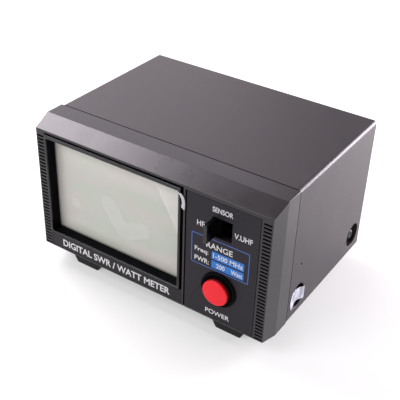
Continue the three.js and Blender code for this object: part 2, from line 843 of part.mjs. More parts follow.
function makeChassis() {
  const wide = [-insideHalf, insideHalf];
  const bore = shankRadius + seat;
  const throughFloor = [undersideLift - past, floorTop + past];
  const throughRear = [rearInside - past, rearOutside + past];
  let chassis = block(wide, [coverStart, rearOutside], [undersideLift, floorTop]);
  chassis = chassis.add(carriedAlongY(insideCover(undersideLift), rearInside, rearOutside, foldSegments));
  bothSides((side) => {
    const across = [side * (tabOuter - sheet), side * tabOuter].sort((a, b) => a - b);
    cupPlaces.forEach((y) => {
      // The tab stays ahead of the rear wall and behind the front's tongue.
      const start = Math.max(y - tabWidth / 2, frontDepth + tongueLength + seat);
      const end = Math.min(y + tabWidth / 2, rearInside - seat);
      chassis = chassis.add(block(across, [start, end], [undersideLift, tabTall]));
      chassis = chassis.subtract(
        barX(y, cupHeight, bore, across[0] - past, across[1] + past, holeSides),
      );
    });
    const x = side * clipAcross;
    const slot = block(
      [x - clipWidth / 2 - caseFit, x + clipWidth / 2 + caseFit],
      [clipPlace - clipReach / 2, clipPlace + clipReach / 2 + caseFit],
      throughFloor,
    );
    chassis = chassis.subtract(slot);
    chassis = chassis.subtract(
      barZ(side * footAcross, rearFootMiddle, bore, ...throughFloor, holeSides),
    );
    const socketX = side * socketAcross;
    chassis = chassis.subtract(barY(socketX, socketHeight, panelClear, ...throughRear));
    socketScrewPlaces(socketX).forEach(([sx, sz]) => {
      chassis = chassis.subtract(barY(sx, sz, bore, ...throughRear, holeSides));
    });
  });
  chassis = chassis.subtract(barY(inletAcross, inletHeight, inletRadius + seat, ...throughRear));
  piece("chassis", chassis, powderCoat);
}

function makeCoverScrews() {
  bothSides((side, sideName) =>
    cupPlaces.forEach((y, i) => {
      const place = [side * (coverHalf - cupDepth + seat), y, cupHeight];
      const inwards = new THREE.Vector3(-side, 0, 0);
      const length = cupDepth + sheet + coverScrewEnd;
      screw(`cover_screw_${i ? "rear" : "front"}_${sideName}`, place, inwards, length);
    }),
  );
}

// The paper seal over the front right cup.
function makeSeal() {
  const x = coverHalf + seat / 2;
  const y = cupPlaces[0];
  piece(
    "paper_seal",
    block(
      [x, x + sealThickness],
      [y - sealLength / 2, y + sealLength / 2],
      [cupHeight - sealHeight / 2, cupHeight + sealHeight / 2],
    ),
    paper,
  );
}

// ---- Feet ---------------------------------------------------------------------------------

const rearFootMiddle = caseDepth - rearFootInset - footLength / 2;

function makeFeet() {
  const places = [
    ["front", frontFootStart + footLength / 2, 0],
    ["rear", rearFootMiddle, undersideLift],
  ];
  bothSides((side, sideName) =>
    places.forEach(([end, y, ceiling]) => {
      const x = side * footAcross;
      const half = footWidth / 2;
      const top = ceiling - seat;
      const outline = new THREE.Shape();
      outline.moveTo(x - half, -footHeight);
      outline.lineTo(x + half, -footHeight);
      outline.lineTo(x + half + footFlare, top);
      outline.lineTo(x - half - footFlare, top);
      outline.closePath();
      const foot = carriedAlongY(outline, y - footLength / 2, y + footLength / 2)
        .subtract(barZ(x, y, holeRadius, -footHeight - past, past, holeSides))
        .subtract(barZ(x, y, footBore, -footHeight - past, footHeadDepth - footHeight));
      piece(`foot_${end}_${sideName}`, foot, blackRubber);
      const length = footHeight - footHeadDepth + ceiling + screwGrip;
      screw(`foot_screw_${end}_${sideName}`, [x, y, footHeadDepth - footHeight - seat], upwards, length);
    }),
  );
}

// ---- Rear sockets and supply inlet --------------------------------------------------------

// The four flange holes of the socket at x, as [x, z].
const socketScrewPlaces = (x) => {
  const offset = flangeHoles / 2;
  return [-1, 1].flatMap((a) => [-1, 1].map((b) => [x + a * offset, socketHeight + b * offset]));
};

function makeSocket(x, name) {
  const flangeFront = rearOutside + seat;
  const half = flangeSide / 2;
  const tall = [socketHeight - half, socketHeight + half];
  let body = block([x - half, x + half], [flangeFront, socketFace], tall)
    .add(barY(x, socketHeight, threadRadius, socketFace - sink, socketEnd))
    .subtract(barY(x, socketHeight, socketBore, flangeFront - past, socketEnd + past));
  socketScrewPlaces(x).forEach(([sx, sz], i) => {
    body = body.subtract(barY(sx, sz, holeRadius, flangeFront - past, socketFace + past, holeSides));
    const place = [sx, socketFace + seat, sz];
    screw(`${name}_flange_screw_${i + 1}`, place, outwards, flangeThickness + screwGrip, nickel);
  });
  piece(`${name}_socket`, body, nickel);

  const insulator = barY(x, socketHeight, socketBore - seat, rearInside + seat, insulatorFace).subtract(
    barY(x, socketHeight, contactRadius + seat, rearInside - past, insulatorFace + past, contactSides),
  );
  piece(`${name}_insulator`, insulator, fluoroplastic);

  const contact = turned(
    [
      [0, lineDepth],
      [stubRadius, lineDepth],
      [stubRadius, rearInside + contactShoulder],
      [contactRadius, rearInside + contactShoulder],
      [contactRadius, insulatorFace],
      [contactBore, insulatorFace],
      [contactBore, insulatorFace - contactBoreDepth],
      [0, insulatorFace - contactBoreDepth],
    ],
    contactSides,
  ).translate([x, 0, socketHeight]);
  piece(`${name}_contact`, contact, brass);
}

function makeInlet() {
  const outside = rearOutside + seat;
  const back = rearOutside - inletBack;
  const end = outside + inletProud;
  const wellFloor = end - inletReach;
  const barrel = barY(inletAcross, inletHeight, inletRadius, back, end, inletSides)
    .add(barY(inletAcross, inletHeight, inletFlange, outside, end))
    .subtract(barY(inletAcross, inletHeight, inletBore, wellFloor, end + past, inletSides))
    .add(barY(inletAcross, inletHeight, inletPin, wellFloor - sink, end - inletPinDrop, inletPinSides));
  const tags = [-1, 1].map((side) => {
    const x = inletAcross + side * inletTagAcross;
    return block(
      [x - tagThickness / 2, x + tagThickness / 2],
      [back - tagLength, back + sink],
      [inletHeight - tagWidth / 2, inletHeight + tagWidth / 2],
    );
  });
  piece("supply_inlet", barrel.add(tags[0]).add(tags[1]), surroundBlack);
  const nutBack = rearInside - seat;
  const nutFront = nutBack - inletNutThickness;
  const nut = barY(inletAcross, inletHeight, inletNut / Math.sqrt(3), nutFront, nutBack, hexagon);
  const nutBore = barY(inletAcross, inletHeight, inletRadius + seat, nutFront - past, rearInside + past);
  piece("supply_inlet_nut", nut.subtract(nutBore), nickel);
}

// ---- Directional coupler ------------------------------------------------------------------

function makeCoupler() {
  const half = couplerHalf;
  const low = couplerLow;
  const high = couplerHigh;
  const skin = couplerSheet;
  let can = block([-half, half], [couplerFront, couplerBack], [low, high]).subtract(
    block([-half + skin, half - skin], [couplerFront - past, couplerBack - skin], [low + skin, high - skin]),
  );
  const throughBack = [couplerBack - skin - past, couplerBack + past];
  bothSides((side) => {
    const x = side * socketAcross;
    can = can.subtract(barY(x, socketHeight, panelClear, ...throughBack));
    socketScrewPlaces(x).forEach(([sx, sz]) => {
      can = can.subtract(barY(sx, sz, couplerHole, ...throughBack, holeSides));
    });
  });
  piece("coupler_can", can, zincSteel);

  const lidDepths = [couplerFront - seat - skin, couplerFront - seat];
  const throughLid = [lidDepths[0] - past, couplerFront];
  const lid = block([-half, half], lidDepths, [low, high])
    .subtract(barY(0, socketHeight, leadRadius + caseFit, ...throughLid, holeSides));
  piece("coupler_lid", lid, zincSteel);

  // The through line lies ahead of the two socket stubs, and the pick-up board ahead of the line.
  const lineY = lineDepth - lineRadius - seat;
  const reach = socketAcross + stubRadius;
  piece("coupler_line", barX(lineY, socketHeight, lineRadius, -reach, reach, lineSides), brass);
  const boardY = lineY - lineRadius - lineClear;
  const board = block(
    [-half + skin + seat, half - skin - seat],
    [boardY - couplerBoardThickness, boardY],
    [low + skin + seat, high - skin - seat],
  );
  piece("coupler_board", board, boardGreen);
}

// ---- Leads inside the case ----------------------------------------------------------------

function lead(name, points) {
  const path = new THREE.CatmullRomCurve3(points.map((p) => new THREE.Vector3(...p)), false, "centripetal");
  const section = new THREE.Shape();
  section.absarc(0, 0, leadRadius, 0, 2 * Math.PI);
  const curveSegments = leadSides / 2;
  const options = { steps: leadSteps, extrudePath: path, curveSegments, bevelEnabled: false };
  piece(name, solid(new THREE.ExtrudeGeometry(section, options)), leadJacket);
}

// A route's steps as points, counted from a place.
const stepsFrom = ([x, y, z], steps) => steps.map(([across, back, up]) => [x + across, y + back, z + up]);

function makeLeads() {
  const overFloor = floorTop + leadRadius + leadLift;
  // From the coupler's lid down to the floor and forward to the display board.
  lead("sensor_lead", [
    ...stepsFrom([0, couplerFront, socketHeight], sensorFromLid),
    ...stepsFrom([0, couplerFront, overFloor], sensorBelowLid),
    ...stepsFrom([0, boardBack, overFloor], sensorToBoard),
  ]);
  // From the supply inlet's tags forward to the power switch's tags.
  const inletTags = rearOutside - inletBack - tagLength;
  const switchTags = switchFront + switchLength + tagLength;
  lead("power_lead", [
    ...stepsFrom([inletAcross, inletTags, inletHeight], powerFromInlet),
    ...stepsFrom([inletAcross, inletTags, overFloor], powerBelowInlet),
    ...stepsFrom([buttonAcross, switchTags, overFloor], powerBelowSwitch),
    ...stepsFrom([buttonAcross, switchTags, buttonHeight], powerToSwitch),
  ]);
}

makeFront();
makeFacePlates();
makeDisplay();
makeFilm();
makePowerButton();
makeSelector();
makeCover();
makeChassis();
makeCoverScrews();
makeSeal();
makeFeet();
makeSocket(-socketAcross, "transmitter");
makeSocket(socketAcross, "antenna");
makeInlet();
makeCoupler();
makeLeads();

export default group;
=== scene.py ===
# %% [markdown]
# # The looks of a desktop SWR and power meter
# An SWR meter sits between a radio transmitter and its antenna and shows how much power goes out and how
# much comes back. The solid parts are already drawn and packed as a frame: here each visible part gets its
# rounded edges, print and finish. The frame is loaded first, and its box is kept, because the finished
# object has to stay that size.

# %% Load the frame
import json
import math

import bmesh
import bpy
import numpy as np
from mathutils import Matrix, Vector


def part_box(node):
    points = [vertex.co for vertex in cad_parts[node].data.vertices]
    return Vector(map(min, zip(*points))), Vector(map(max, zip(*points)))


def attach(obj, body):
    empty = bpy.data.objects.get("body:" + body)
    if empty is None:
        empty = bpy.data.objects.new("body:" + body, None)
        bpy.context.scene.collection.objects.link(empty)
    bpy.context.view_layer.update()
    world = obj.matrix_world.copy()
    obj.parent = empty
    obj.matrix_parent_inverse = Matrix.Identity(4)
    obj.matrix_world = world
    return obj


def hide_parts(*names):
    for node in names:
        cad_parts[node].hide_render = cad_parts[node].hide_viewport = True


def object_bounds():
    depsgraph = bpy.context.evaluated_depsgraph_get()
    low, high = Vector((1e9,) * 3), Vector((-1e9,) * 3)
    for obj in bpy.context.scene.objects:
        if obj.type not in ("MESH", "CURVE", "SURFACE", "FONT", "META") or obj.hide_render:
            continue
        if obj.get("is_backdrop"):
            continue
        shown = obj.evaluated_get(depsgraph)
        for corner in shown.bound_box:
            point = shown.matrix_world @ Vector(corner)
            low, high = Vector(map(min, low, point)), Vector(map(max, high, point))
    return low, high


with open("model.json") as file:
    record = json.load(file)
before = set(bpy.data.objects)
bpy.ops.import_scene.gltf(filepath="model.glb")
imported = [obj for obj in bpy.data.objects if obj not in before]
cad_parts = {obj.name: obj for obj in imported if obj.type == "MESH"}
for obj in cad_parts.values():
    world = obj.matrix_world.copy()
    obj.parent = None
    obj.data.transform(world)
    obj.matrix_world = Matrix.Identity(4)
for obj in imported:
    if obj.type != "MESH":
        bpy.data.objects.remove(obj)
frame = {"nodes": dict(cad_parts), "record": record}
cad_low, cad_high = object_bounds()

MM = 0.001
nodes = frame["nodes"]
print(f"{len(nodes)} parts in a box of {[round(s / MM, 1) for s in cad_high - cad_low]} mm")

# %% [markdown]
# ## The camera
# The camera stands in front and to the right, looking down on the case, as someone leaning over a workbench
# would. It could be placed by hand, but an aim point, a distance and three angles say the same thing in
# words: where it looks, how far it is, how far round, how high, and how much the picture is turned.

# %% Camera
AIM = Vector((-0.0055, 0.0, 0.0372))
DISTANCE = 0.4836
AROUND, ABOVE, ROLL = (math.radians(a) for a in (32.83, 33.31, 2.06))
LENS = 71.9

backwards = Vector(
    (math.sin(AROUND) * math.cos(ABOVE), -math.cos(AROUND) * math.cos(ABOVE), math.sin(ABOVE))
)
across = Vector((math.cos(AROUND), math.sin(AROUND), 0))
across.rotate(Matrix.Rotation(ROLL, 3, backwards))
upright = backwards.cross(across)

camera = bpy.data.objects.new("camera", bpy.data.cameras.new("camera"))
bpy.context.scene.collection.objects.link(camera)
camera.data.lens = LENS
camera.matrix_world = Matrix.Translation(AIM + backwards * DISTANCE) @ Matrix(
    (across, upright, backwards)
).transposed().to_4x4()
bpy.context.scene.camera = camera
print("camera stands at", [round(c, 3) for c in camera.location])

# %% [markdown]
# ## The studio
# A catalogue picture is lit by large white panels, so that dark plastic shows soft pale reflections and no
# hard shadows. One panel stands high on the left and gives the top of the front its long highlight. A
# stronger one stands behind on the right and brightens the right side. Their light has a faint rose tint,
# which black plastic and paint show as a warm grey. The room is white, which is what shows beyond the
# floor.

# %% Floor, panels and room
ROOM_LIGHT = 0.38
FLOOR_SIDE = 6.0


def panel(name, direction, distance, side, watts, tint=(1, 1, 1)):
    """A square light on a line from the middle of the case, at that distance, facing the case."""
    lamp = bpy.data.lights.new(name, "AREA")
    lamp.size, lamp.energy, lamp.color = side, watts, tint
    made = bpy.data.objects.new(name, lamp)
    bpy.context.scene.collection.objects.link(made)
    towards = Vector(direction).normalized()
    made.location = Vector((0, 0, 0.045)) + towards * distance
    made.rotation_euler = towards.to_track_quat("Z", "Y").to_euler()
    return made


FAINT_ROSE = (1.0, 0.915, 0.985)
panel("left_panel", (-0.72, 0.10, 0.68), 1.1, 0.60, 14, FAINT_ROSE)
panel("back_panel", (-0.72, 0.57, 0.43), 1.2, 1.05, 4.8, FAINT_ROSE)
panel("right_panel", (0.56, 0.80, 0.20), 0.60, 0.30, 7.6, FAINT_ROSE)
panel("front_panel", (-0.30, -0.66, 0.69), 1.2, 0.60, 8)

corners = np.array([(-1, -1, 0), (1, -1, 0), (1, 1, 0), (-1, 1, 0)]) * FLOOR_SIDE / 2
floor_mesh = bpy.data.meshes.new("floor")
floor_mesh.from_pydata(corners, [], [(0, 1, 2, 3)])
floor = bpy.data.objects.new("floor", floor_mesh)
bpy.context.scene.collection.objects.link(floor)
floor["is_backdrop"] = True

room = bpy.data.worlds.new("room")
room.use_nodes = True
air = room.node_tree.nodes["Background"]
seen = room.node_tree.nodes.new("ShaderNodeBackground")
both = room.node_tree.nodes.new("ShaderNodeMixShader")
ray = room.node_tree.nodes.new("ShaderNodeLightPath")
for background, strength in ((air, ROOM_LIGHT), (seen, 1.0)):
    background.inputs["Color"].default_value = (1, 1, 1, 1)
    background.inputs["Strength"].default_value = strength
link = room.node_tree.links.new
link(ray.outputs["Is Camera Ray"], both.inputs[0])
link(air.outputs[0], both.inputs[1])
link(seen.outputs[0], both.inputs[2])
link(both.outputs[0], room.node_tree.nodes["World Output"].inputs["Surface"])
bpy.context.scene.world = room
bpy.context.scene.view_settings.view_transform = "Standard"
print("lit by", [lamp.name for lamp in bpy.data.lights])

# %% [markdown]
# ## Writing finishes as formulas
# A finish is a network of nodes. Drawn by hand it soon becomes a tangle, so the arithmetic is written in
# Python: a `Wire` stands for one output, and `a * 2 + b` adds the Math nodes that work it out. Every other
# node comes from `Finish.node`, which sets the node's own options first and then its inputs.


# %% Wires and finishes
class Wire:
    """The output of a node, with the arithmetic that is used on values."""

    def __init__(self, finish, socket):
        self.finish, self.socket = finish, socket

    def maths(self, operation, *values):
        return self.finish.node("ShaderNodeMath", {"operation": operation}, dict(enumerate(values)))

    def __add__(self, other):
        return self.maths("ADD", self, other)

    def __sub__(self, other):
        return self.maths("SUBTRACT", self, other)

    def __rsub__(self, other):
        return self.maths("SUBTRACT", other, self)

    def __mul__(self, other):
        return self.maths("MULTIPLY", self, other)

    def __truediv__(self, other):
        return self.maths("DIVIDE", self, other)

    def __abs__(self):
        return self.maths("ABSOLUTE", self)

    def __pow__(self, other):
        return self.maths("POWER", self, other)

    def less(self, other):
        """The smaller of two values."""
        return self.maths("MINIMUM", self, other)

    def more(self, other):
        """The larger of two values."""
        return self.maths("MAXIMUM", self, other)

    __radd__, __rmul__ = __add__, __mul__


class Finish:
    """A material with one Principled shader. Constants are set on its sockets by name."""

    def __init__(self, name, color, **constants):
        self.material = bpy.data.materials.new(name)
        self.material.use_nodes = True
        self.tree = self.material.node_tree
        self.shader = self.tree.nodes["Principled BSDF"]
        self.shader.inputs["Base Color"].default_value = (*color, 1)
        self.material.diffuse_color = (*color, 1)
        for socket, value in constants.items():
            self.shader.inputs[socket.replace("_", " ")].default_value = value

    def node(self, kind, settings=None, inputs=None, output=0):
        """Any node: its settings first, then the values or links of its sockets."""
        made = self.tree.nodes.new(kind)
        for key, value in (settings or {}).items():
            setattr(made, key, value)
        for key, value in (inputs or {}).items():
            self.join(made.inputs[key], value)
        return Wire(self, made.outputs[output])

    def join(self, socket, value):
        if isinstance(value, Wire):
            self.tree.links.new(value.socket, socket)
        else:
            socket.default_value = value

    def give(self, **wires):
        """Feeds sockets of the shader by name."""
        for socket, wire in wires.items():
            self.join(self.shader.inputs[socket.replace("_", " ")], wire)

    def place(self):
        """The point on the object, in metres."""
        return self.node("ShaderNodeTexCoord", output=3)

    def axes(self):
        """That point's three numbers, in millimetres."""
        apart = self.node("ShaderNodeSeparateXYZ", inputs={0: self.place()})
        return [Wire(self, apart.socket.node.outputs[i]) * (1 / MM) for i in range(3)]

    def grain(self, size, detail=2.0, stretch=(1, 1, 1), roughness=0.5):
        """Cloudy noise from 0 to 1, whose patches are about that many millimetres across."""
        where = self.node(
            "ShaderNodeMapping", {"vector_type": "POINT"}, {"Vector": self.place(), "Scale": stretch}
        )
        return self.node(
            "ShaderNodeTexNoise",
            inputs={
                "Vector": where,
                "Scale": 1 / (size * MM),
                "Detail": detail,
                "Roughness": roughness,
            },
        )

    def between(self, share, low, high):
        """A value between low and high."""
        return share * (high - low) + low

    def colors(self, share, first, second):
        """A colour between two colours, each three numbers or a wire."""
        first, second = (c if isinstance(c, Wire) else (*c, 1) for c in (first, second))
        return self.node("ShaderNodeMix", {"data_type": "RGBA"}, {0: share, 6: first, 7: second}, 2)

    def step(self, value, start, end):
        """0 before start, 1 after end, and a soft slope between them."""
        return self.node(
            "ShaderNodeMapRange",
            {"interpolation_type": "SMOOTHSTEP"},
            {"Value": value, "From Min": start, "From Max": end},
        )

    def relief(self, height, depth, strength=1.0):
        """Bumps the surface by a height from 0 to 1, over that depth in millimetres."""
        bump = self.node(
            "ShaderNodeBump", inputs={"Height": height, "Distance": depth * MM, "Strength": strength}
        )
        self.give(Normal=bump)


print("a finish offers", ", ".join(name for name in vars(Finish) if not name.startswith("_")))

# %% [markdown]
# ## Black moulded plastics
# The front is ABS, moulded in a tool whose walls were spark eroded, which leaves an even, very fine grain.
# The panels set into it are smoother. Real black plastic isn't one flat black: handling and flow lines
# change its gloss a little, so a slow cloud moves the roughness and a fine one makes the grain.

# %% Plastics
FINISHES = {}


def moulded(slot, color, sheen, grain_size, grain_depth, spread=0.05, cloud=9, mirror=0.5):
    """Plastic with a fine grain, whose colour and gloss drift a little over some millimetres."""
    finish = FINISHES[slot] = Finish(slot, color, Specular_IOR_Level=mirror)
    drift = finish.grain(cloud, 3)
    paler = tuple(c * 1.25 + 0.002 for c in color)
    finish.drifting = finish.colors(drift, color, paler)
    finish.give(
        Base_Color=finish.drifting,
        Roughness=finish.between(drift, sheen - spread, sheen + spread),
    )
    finish.relief(finish.grain(grain_size, 2), grain_depth)
    return finish


moulded("moulded_black", (0.009, 0.007, 0.010), 0.29, 0.32, 0.012, mirror=0.45)
moulded("panel_black", (0.014, 0.011, 0.016), 0.44, 0.5, 0.008, mirror=0.2)
moulded("surround_black", (0.002, 0.002, 0.003), 0.34, 0.6, 0.004, mirror=0.02)
moulded("black_rubber", (0.010, 0.009, 0.011), 0.7, 0.5, 0.03, mirror=0.3)
moulded("lead_jacket", (0.012, 0.012, 0.014), 0.5, 0.8, 0.01)
RED = (0.80, 0.006, 0.018)
moulded("red_button", RED, 0.36, 0.5, 0.004, cloud=5, mirror=0.3)
moulded("light_guide", (0.78, 0.78, 0.74), 0.45, 1.5, 0.004)
moulded("white_fluoroplastic", (0.78, 0.75, 0.66), 0.5, 0.7, 0.01)
print("plastics:", ", ".join(FINISHES))

# %% [markdown]
# ## Where the plastics change
# Narrow gaps hardly let light out again, and that shade is painted: between the ribs and in the seam at the
# cover the front's colour goes to a dead black, and Metallic takes away the gloss that every plastic keeps.
# The button is red only near its face: further back, where it slides in the collar, shade is painted on its
# side, first a darker red and then black. The display's rim is polished, and so is the lever's front, which
# fingers have rubbed, so these get a clear coat. Each place is found from how far a point is behind a face
# or along a plate.

# %% Painted shade in gaps and on the button, and gloss
front = FINISHES["moulded_black"]
x, y, z = front.axes()
plate_low, plate_high = (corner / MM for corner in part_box("control_panel"))
# Painted shade for narrow gaps: a near-black colour, and Metallic that takes the gloss away.
PAINTED_SHADE_BLACK, PAINTED_SHADE_METALLIC = (0.001, 0.001, 0.001), 0.85
RIB_WIDTH, RIB_INSET = 5.4, 1.0
rib_start = plate_high.x + RIB_INSET
rib_end = rib_start + RIB_WIDTH
# Painted shade in the grooves between the ribs: a little behind the plate, in a rib column, within its
# height.
behind = front.step(y - plate_low.y, 0.05, 0.3) * (1 - front.step(y - plate_low.y, 2, 3))
column = front.step(abs(x), rib_start - 0.2, rib_start + 0.2)
column = column * (1 - front.step(abs(x), rib_end, rib_end + 0.4))
middle = (plate_low.z + plate_high.z) / 2
half_height = (plate_high.z - plate_low.z) / 2
painted_gap_shade = behind * column * (1 - front.step(abs(z - middle), half_height, half_height + 0.5))
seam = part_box("top_cover")[0].y / MM
# Painted shade at the seam too: the moulding's rear edge just in front of the cover.
painted_gap_shade = painted_gap_shade.more(front.step(y - seam, -0.95, -0.75))
front.give(Base_Color=front.colors(painted_gap_shade, front.drifting, PAINTED_SHADE_BLACK), Metallic=painted_gap_shade * PAINTED_SHADE_METALLIC)

red = FINISHES["red_button"]
_, depth, _ = red.axes()
below_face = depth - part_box("power_cap")[0].y / MM
# Painted shade on the cap's side: darker red from 0.3 mm behind its face, then black from 1.9 mm, in the
# collar.
painted_shade_red = red.colors(red.step(below_face, 0.3, 1.5), RED, (0.25, 0.003, 0.006))
red.give(Base_Color=red.colors(red.step(below_face, 1.9, 2.6), painted_shade_red, (0.006, 0.002, 0.002)))

surround = FINISHES["surround_black"]
x, depth, _ = surround.axes()
rim_low, rim_high = (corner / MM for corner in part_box("display_surround"))
front_rim = (1 - surround.step(depth - rim_low.y, 0.5, 1.2)) * (1 - surround.step(x - rim_high.x, 1, 2))
surround.shader.inputs["Coat Roughness"].default_value = 0.2
lever_face = 1 - surround.step(depth - rim_low.y, -6.5, -4)
surround.give(Coat_Weight=front_rim.more(lever_face) * 0.9)
print(f"ribs run from {rib_start:.1f} to {rib_end:.1f} mm, the seam is {seam:.1f} mm along")

# %% [markdown]
# ## Powder coat
# The cover is folded steel with a textured powder coat: the powder melts into low pimples less than a
# millimetre apart. Round cells give the pimples and noise breaks up their rows. The cups that are pressed
# in for the screws and the sheet's edge at the seam lie in their own shade, and that shade is painted: the
# coat's colour goes near black there and Metallic takes its gloss away, as in the plastic's gaps.

# %% Powder coat
coat = FINISHES["powder_coat"] = Finish("powder_coat", (0.06, 0.055, 0.06), Specular_IOR_Level=0.4)
PIMPLE = 0.75
pimples = coat.node(
    "ShaderNodeTexVoronoi",
    {"feature": "SMOOTH_F1"},
    {"Vector": coat.place(), "Scale": 1 / (PIMPLE * MM), "Smoothness": 0.6},
)
cloud = coat.grain(14, 3)
speckle = coat.grain(0.5, 3, roughness=0.65)
x, y, z = coat.axes()
# Painted shade in the screw cups and along the seam's edge: near black, with Metallic.
CUP_EDGE = (6.9, 7.6)
painted_coat_shade = 0
for end in ("front", "rear"):
    low, high = (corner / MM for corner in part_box(f"cover_screw_{end}_right"))
    off = ((y - (low.y + high.y) / 2) ** 2 + (z - (low.z + high.z) / 2) ** 2) ** 0.5
    painted_coat_shade = painted_coat_shade + (1 - coat.step(off, *CUP_EDGE))
painted_coat_shade = painted_coat_shade * coat.step(cad_high.x / MM - abs(x), 0.3, 0.7)
painted_coat_shade = painted_coat_shade.more(1 - coat.step(y - seam, 0.1, 0.3))
powder = coat.colors(speckle * 0.7 + cloud * 0.3, (0.010, 0.008, 0.010), (0.042, 0.034, 0.041))
coat.give(
    Base_Color=coat.colors(painted_coat_shade, powder, (0.002, 0.002, 0.002)),
    Metallic=painted_coat_shade * PAINTED_SHADE_METALLIC,
    Roughness=coat.between(cloud, 0.38, 0.46) + (speckle - 0.5) * 0.15,
)
coat.relief((1 - pimples) * 0.6 + speckle * 0.4, 0.09)
print(f"powder coat has pimples {PIMPLE} mm across")

# %% [markdown]
# ## Metals
# Rolled sheet and turned sockets keep the marks of how they were made: fine lines that all run one way.
# Noise that is stretched along one axis gives those lines, and a slower cloud of it dulls the shine where
# hands have been.


# %% Metals
def metal(slot, color, sheen, stretch, depth=0.006, metalness=1.0):
    """Metal whose noise is drawn out along one axis, as rolling or turning marks are."""
    finish = FINISHES[slot] = Finish(slot, color, Metallic=metalness)
    marks = finish.grain(1.2, 4, stretch)
    dull = finish.grain(6, 3)
    darker = tuple(c * 0.72 for c in color)
    finish.give(
        Base_Color=finish.colors(dull, color, darker),
        Roughness=finish.between(marks * 0.5 + dull * 0.5, sheen - 0.1, sheen + 0.14),
    )
    finish.relief(marks, depth)


metal("tinned_steel", (0.60, 0.60, 0.57), 0.36, (1, 0.06, 1))
metal("socket_nickel", (0.66, 0.63, 0.58), 0.22, (0.4, 1, 0.4))
metal("contact_brass", (0.70, 0.50, 0.20), 0.26, (0.4, 1, 0.4))
metal("black_screw", (0.035, 0.035, 0.038), 0.38, (1, 1, 1), metalness=0.7)
print("finishes so far:", len(FINISHES))

# %% [markdown]
# ## Board and paper
# A circuit board carries a green lacquer, which is paler where copper lies under it: a sharp step in a
# stretched noise draws such patches. Paper is soft fibre, so it is rough and a little uneven. The seal's
# white is painted darker and a little lilac, as painted shade. The seal has a small dark tear near the
# screw, which is an oval about a point.

# %% Board and paper
board = FINISHES["circuit_board"] = Finish("circuit_board", (0.015, 0.10, 0.04), Coat_Weight=0.4)
copper = board.step(board.grain(3.2, 1, (1, 0.3, 1)), 0.5, 0.54)
board.give(Base_Color=board.colors(copper, (0.012, 0.085, 0.034), (0.03, 0.17, 0.07)), Roughness=0.42)
board.relief(copper, 0.03)

paper = FINISHES["seal_paper"] = Finish("seal_paper", (0.80, 0.79, 0.84))
fibre = paper.grain(0.35, 4, (1, 0.35, 1))
x, y, z = paper.axes()
bolt_low, bolt_high = (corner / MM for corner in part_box("cover_screw_front_right"))
TEAR_BACK, TEAR_UP, TEAR_WIDE, TEAR_TALL = 1.2, -3.4, 0.45, 0.8
tear_y = (bolt_low.y + bolt_high.y) / 2 + TEAR_BACK
tear_z = (bolt_low.z + bolt_high.z) / 2 + TEAR_UP
from_tear = (((y - tear_y) / TEAR_WIDE) ** 2 + ((z - tear_z) / TEAR_TALL) ** 2) ** 0.5
tear = 1 - paper.step(from_tear, 0.8, 1.2)
# Painted shade: the paper's white is painted at about half its brightness and a little lilac.
paper_painted_shade = paper.colors(fibre, (0.38, 0.39, 0.46), (0.45, 0.46, 0.54))
paper.give(
    Base_Color=paper.colors(tear, paper_painted_shade, (0.03, 0.03, 0.04)),
    Roughness=paper.between(fibre, 0.62, 0.8),
)
paper.relief(fibre, 0.02)
print("finishes so far:", len(FINISHES))

# %% [markdown]
# ## The display
# The display is a liquid crystal cell that is switched off: a pale grey-green polariser behind a smooth
# face. Its edge lies in the shade of the deep surround, and that shade is painted into its colour. Inside
# that edge, towards the bottom, the left and the top, its colour is painted paler, as painted light that
# the surround's walls pass on to it. Both are told by how far a point is from the window's nearest sides.

# %% Display face
window_low, window_high = (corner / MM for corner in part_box("display_glass"))
OVERLAP = 1.6

cell = FINISHES["display_glass"] = Finish("display_glass", (0.50, 0.51, 0.46), Coat_Weight=0.3)
x, y, z = cell.axes()
corner_x, corner_z = x - (window_low.x + OVERLAP), z - (window_low.z + OVERLAP)
# Painted shade along the window's left and bottom edges.
shade = cell.step(corner_x.less(corner_z), -0.3, 1.6)
bands = cell.step(cell.grain(26, 2, (0.55, 1, 1.5)), 0.38, 0.62)
tint = cell.colors(bands, (0.430, 0.468, 0.405), (0.475, 0.458, 0.420))
pale = cell.colors(bands, (0.560, 0.580, 0.510), (0.600, 0.565, 0.530))
# Painted light: paler towards the bottom, the left and the top of the window.
below_top = window_high.z - OVERLAP - z
painted_light_share = (1 - cell.step(corner_z, 1, 15)).more((1 - cell.step(corner_x, 1, 9)) * 0.5)
painted_light_share = painted_light_share.more(1 - cell.step(below_top, 2, 22))
tint = cell.colors(painted_light_share, tint, pale)
weave = cell.grain(0.4, 1)
cell.give(
    Base_Color=cell.colors(shade, (0.17, 0.17, 0.16), tint),
    Roughness=cell.between(weave, 0.30, 0.36),
)
cell.relief(weave, 0.002)
print("display window is", [round(s - 2 * OVERLAP, 1) for s in (window_high - window_low).xz], "mm")

# %% [markdown]
# ## The transit film's finish
# A thin transit film still covers the display. Where it has lifted, the light scatters and leaves pale
# patches: a round bubble, a bent one, and the corner that has been peeled. Each patch is a distance written
# as a formula: a point's distance to a circle's middle, or to a line. The patches show less of what lies
# behind through Alpha.

# %% Transit film
film = FINISHES["clear_film"] = Finish("clear_film", (0.80, 0.81, 0.78), IOR=1.4)
x, y, z = film.axes()


def round_patch(across, up, radius):
    """1 inside a circle, with an edge half a millimetre soft."""
    far = ((x - across) ** 2 + (z - up) ** 2) ** 0.5
    return 1 - film.step(far, radius - 0.25, radius + 0.25)


def bar_patch(start, end, width):
    """1 within half the width of a straight line: the nearest point of it is found first."""
    run = np.subtract(end, start)
    along = ((x - start[0]) * run[0] + (z - start[1]) * run[1]) / float(run @ run)
    along = along.more(0).less(1)
    far = ((x - start[0] - along * run[0]) ** 2 + (z - start[1] - along * run[1]) ** 2) ** 0.5
    return 1 - film.step(far, width / 2 - 0.4, width / 2 + 0.4)


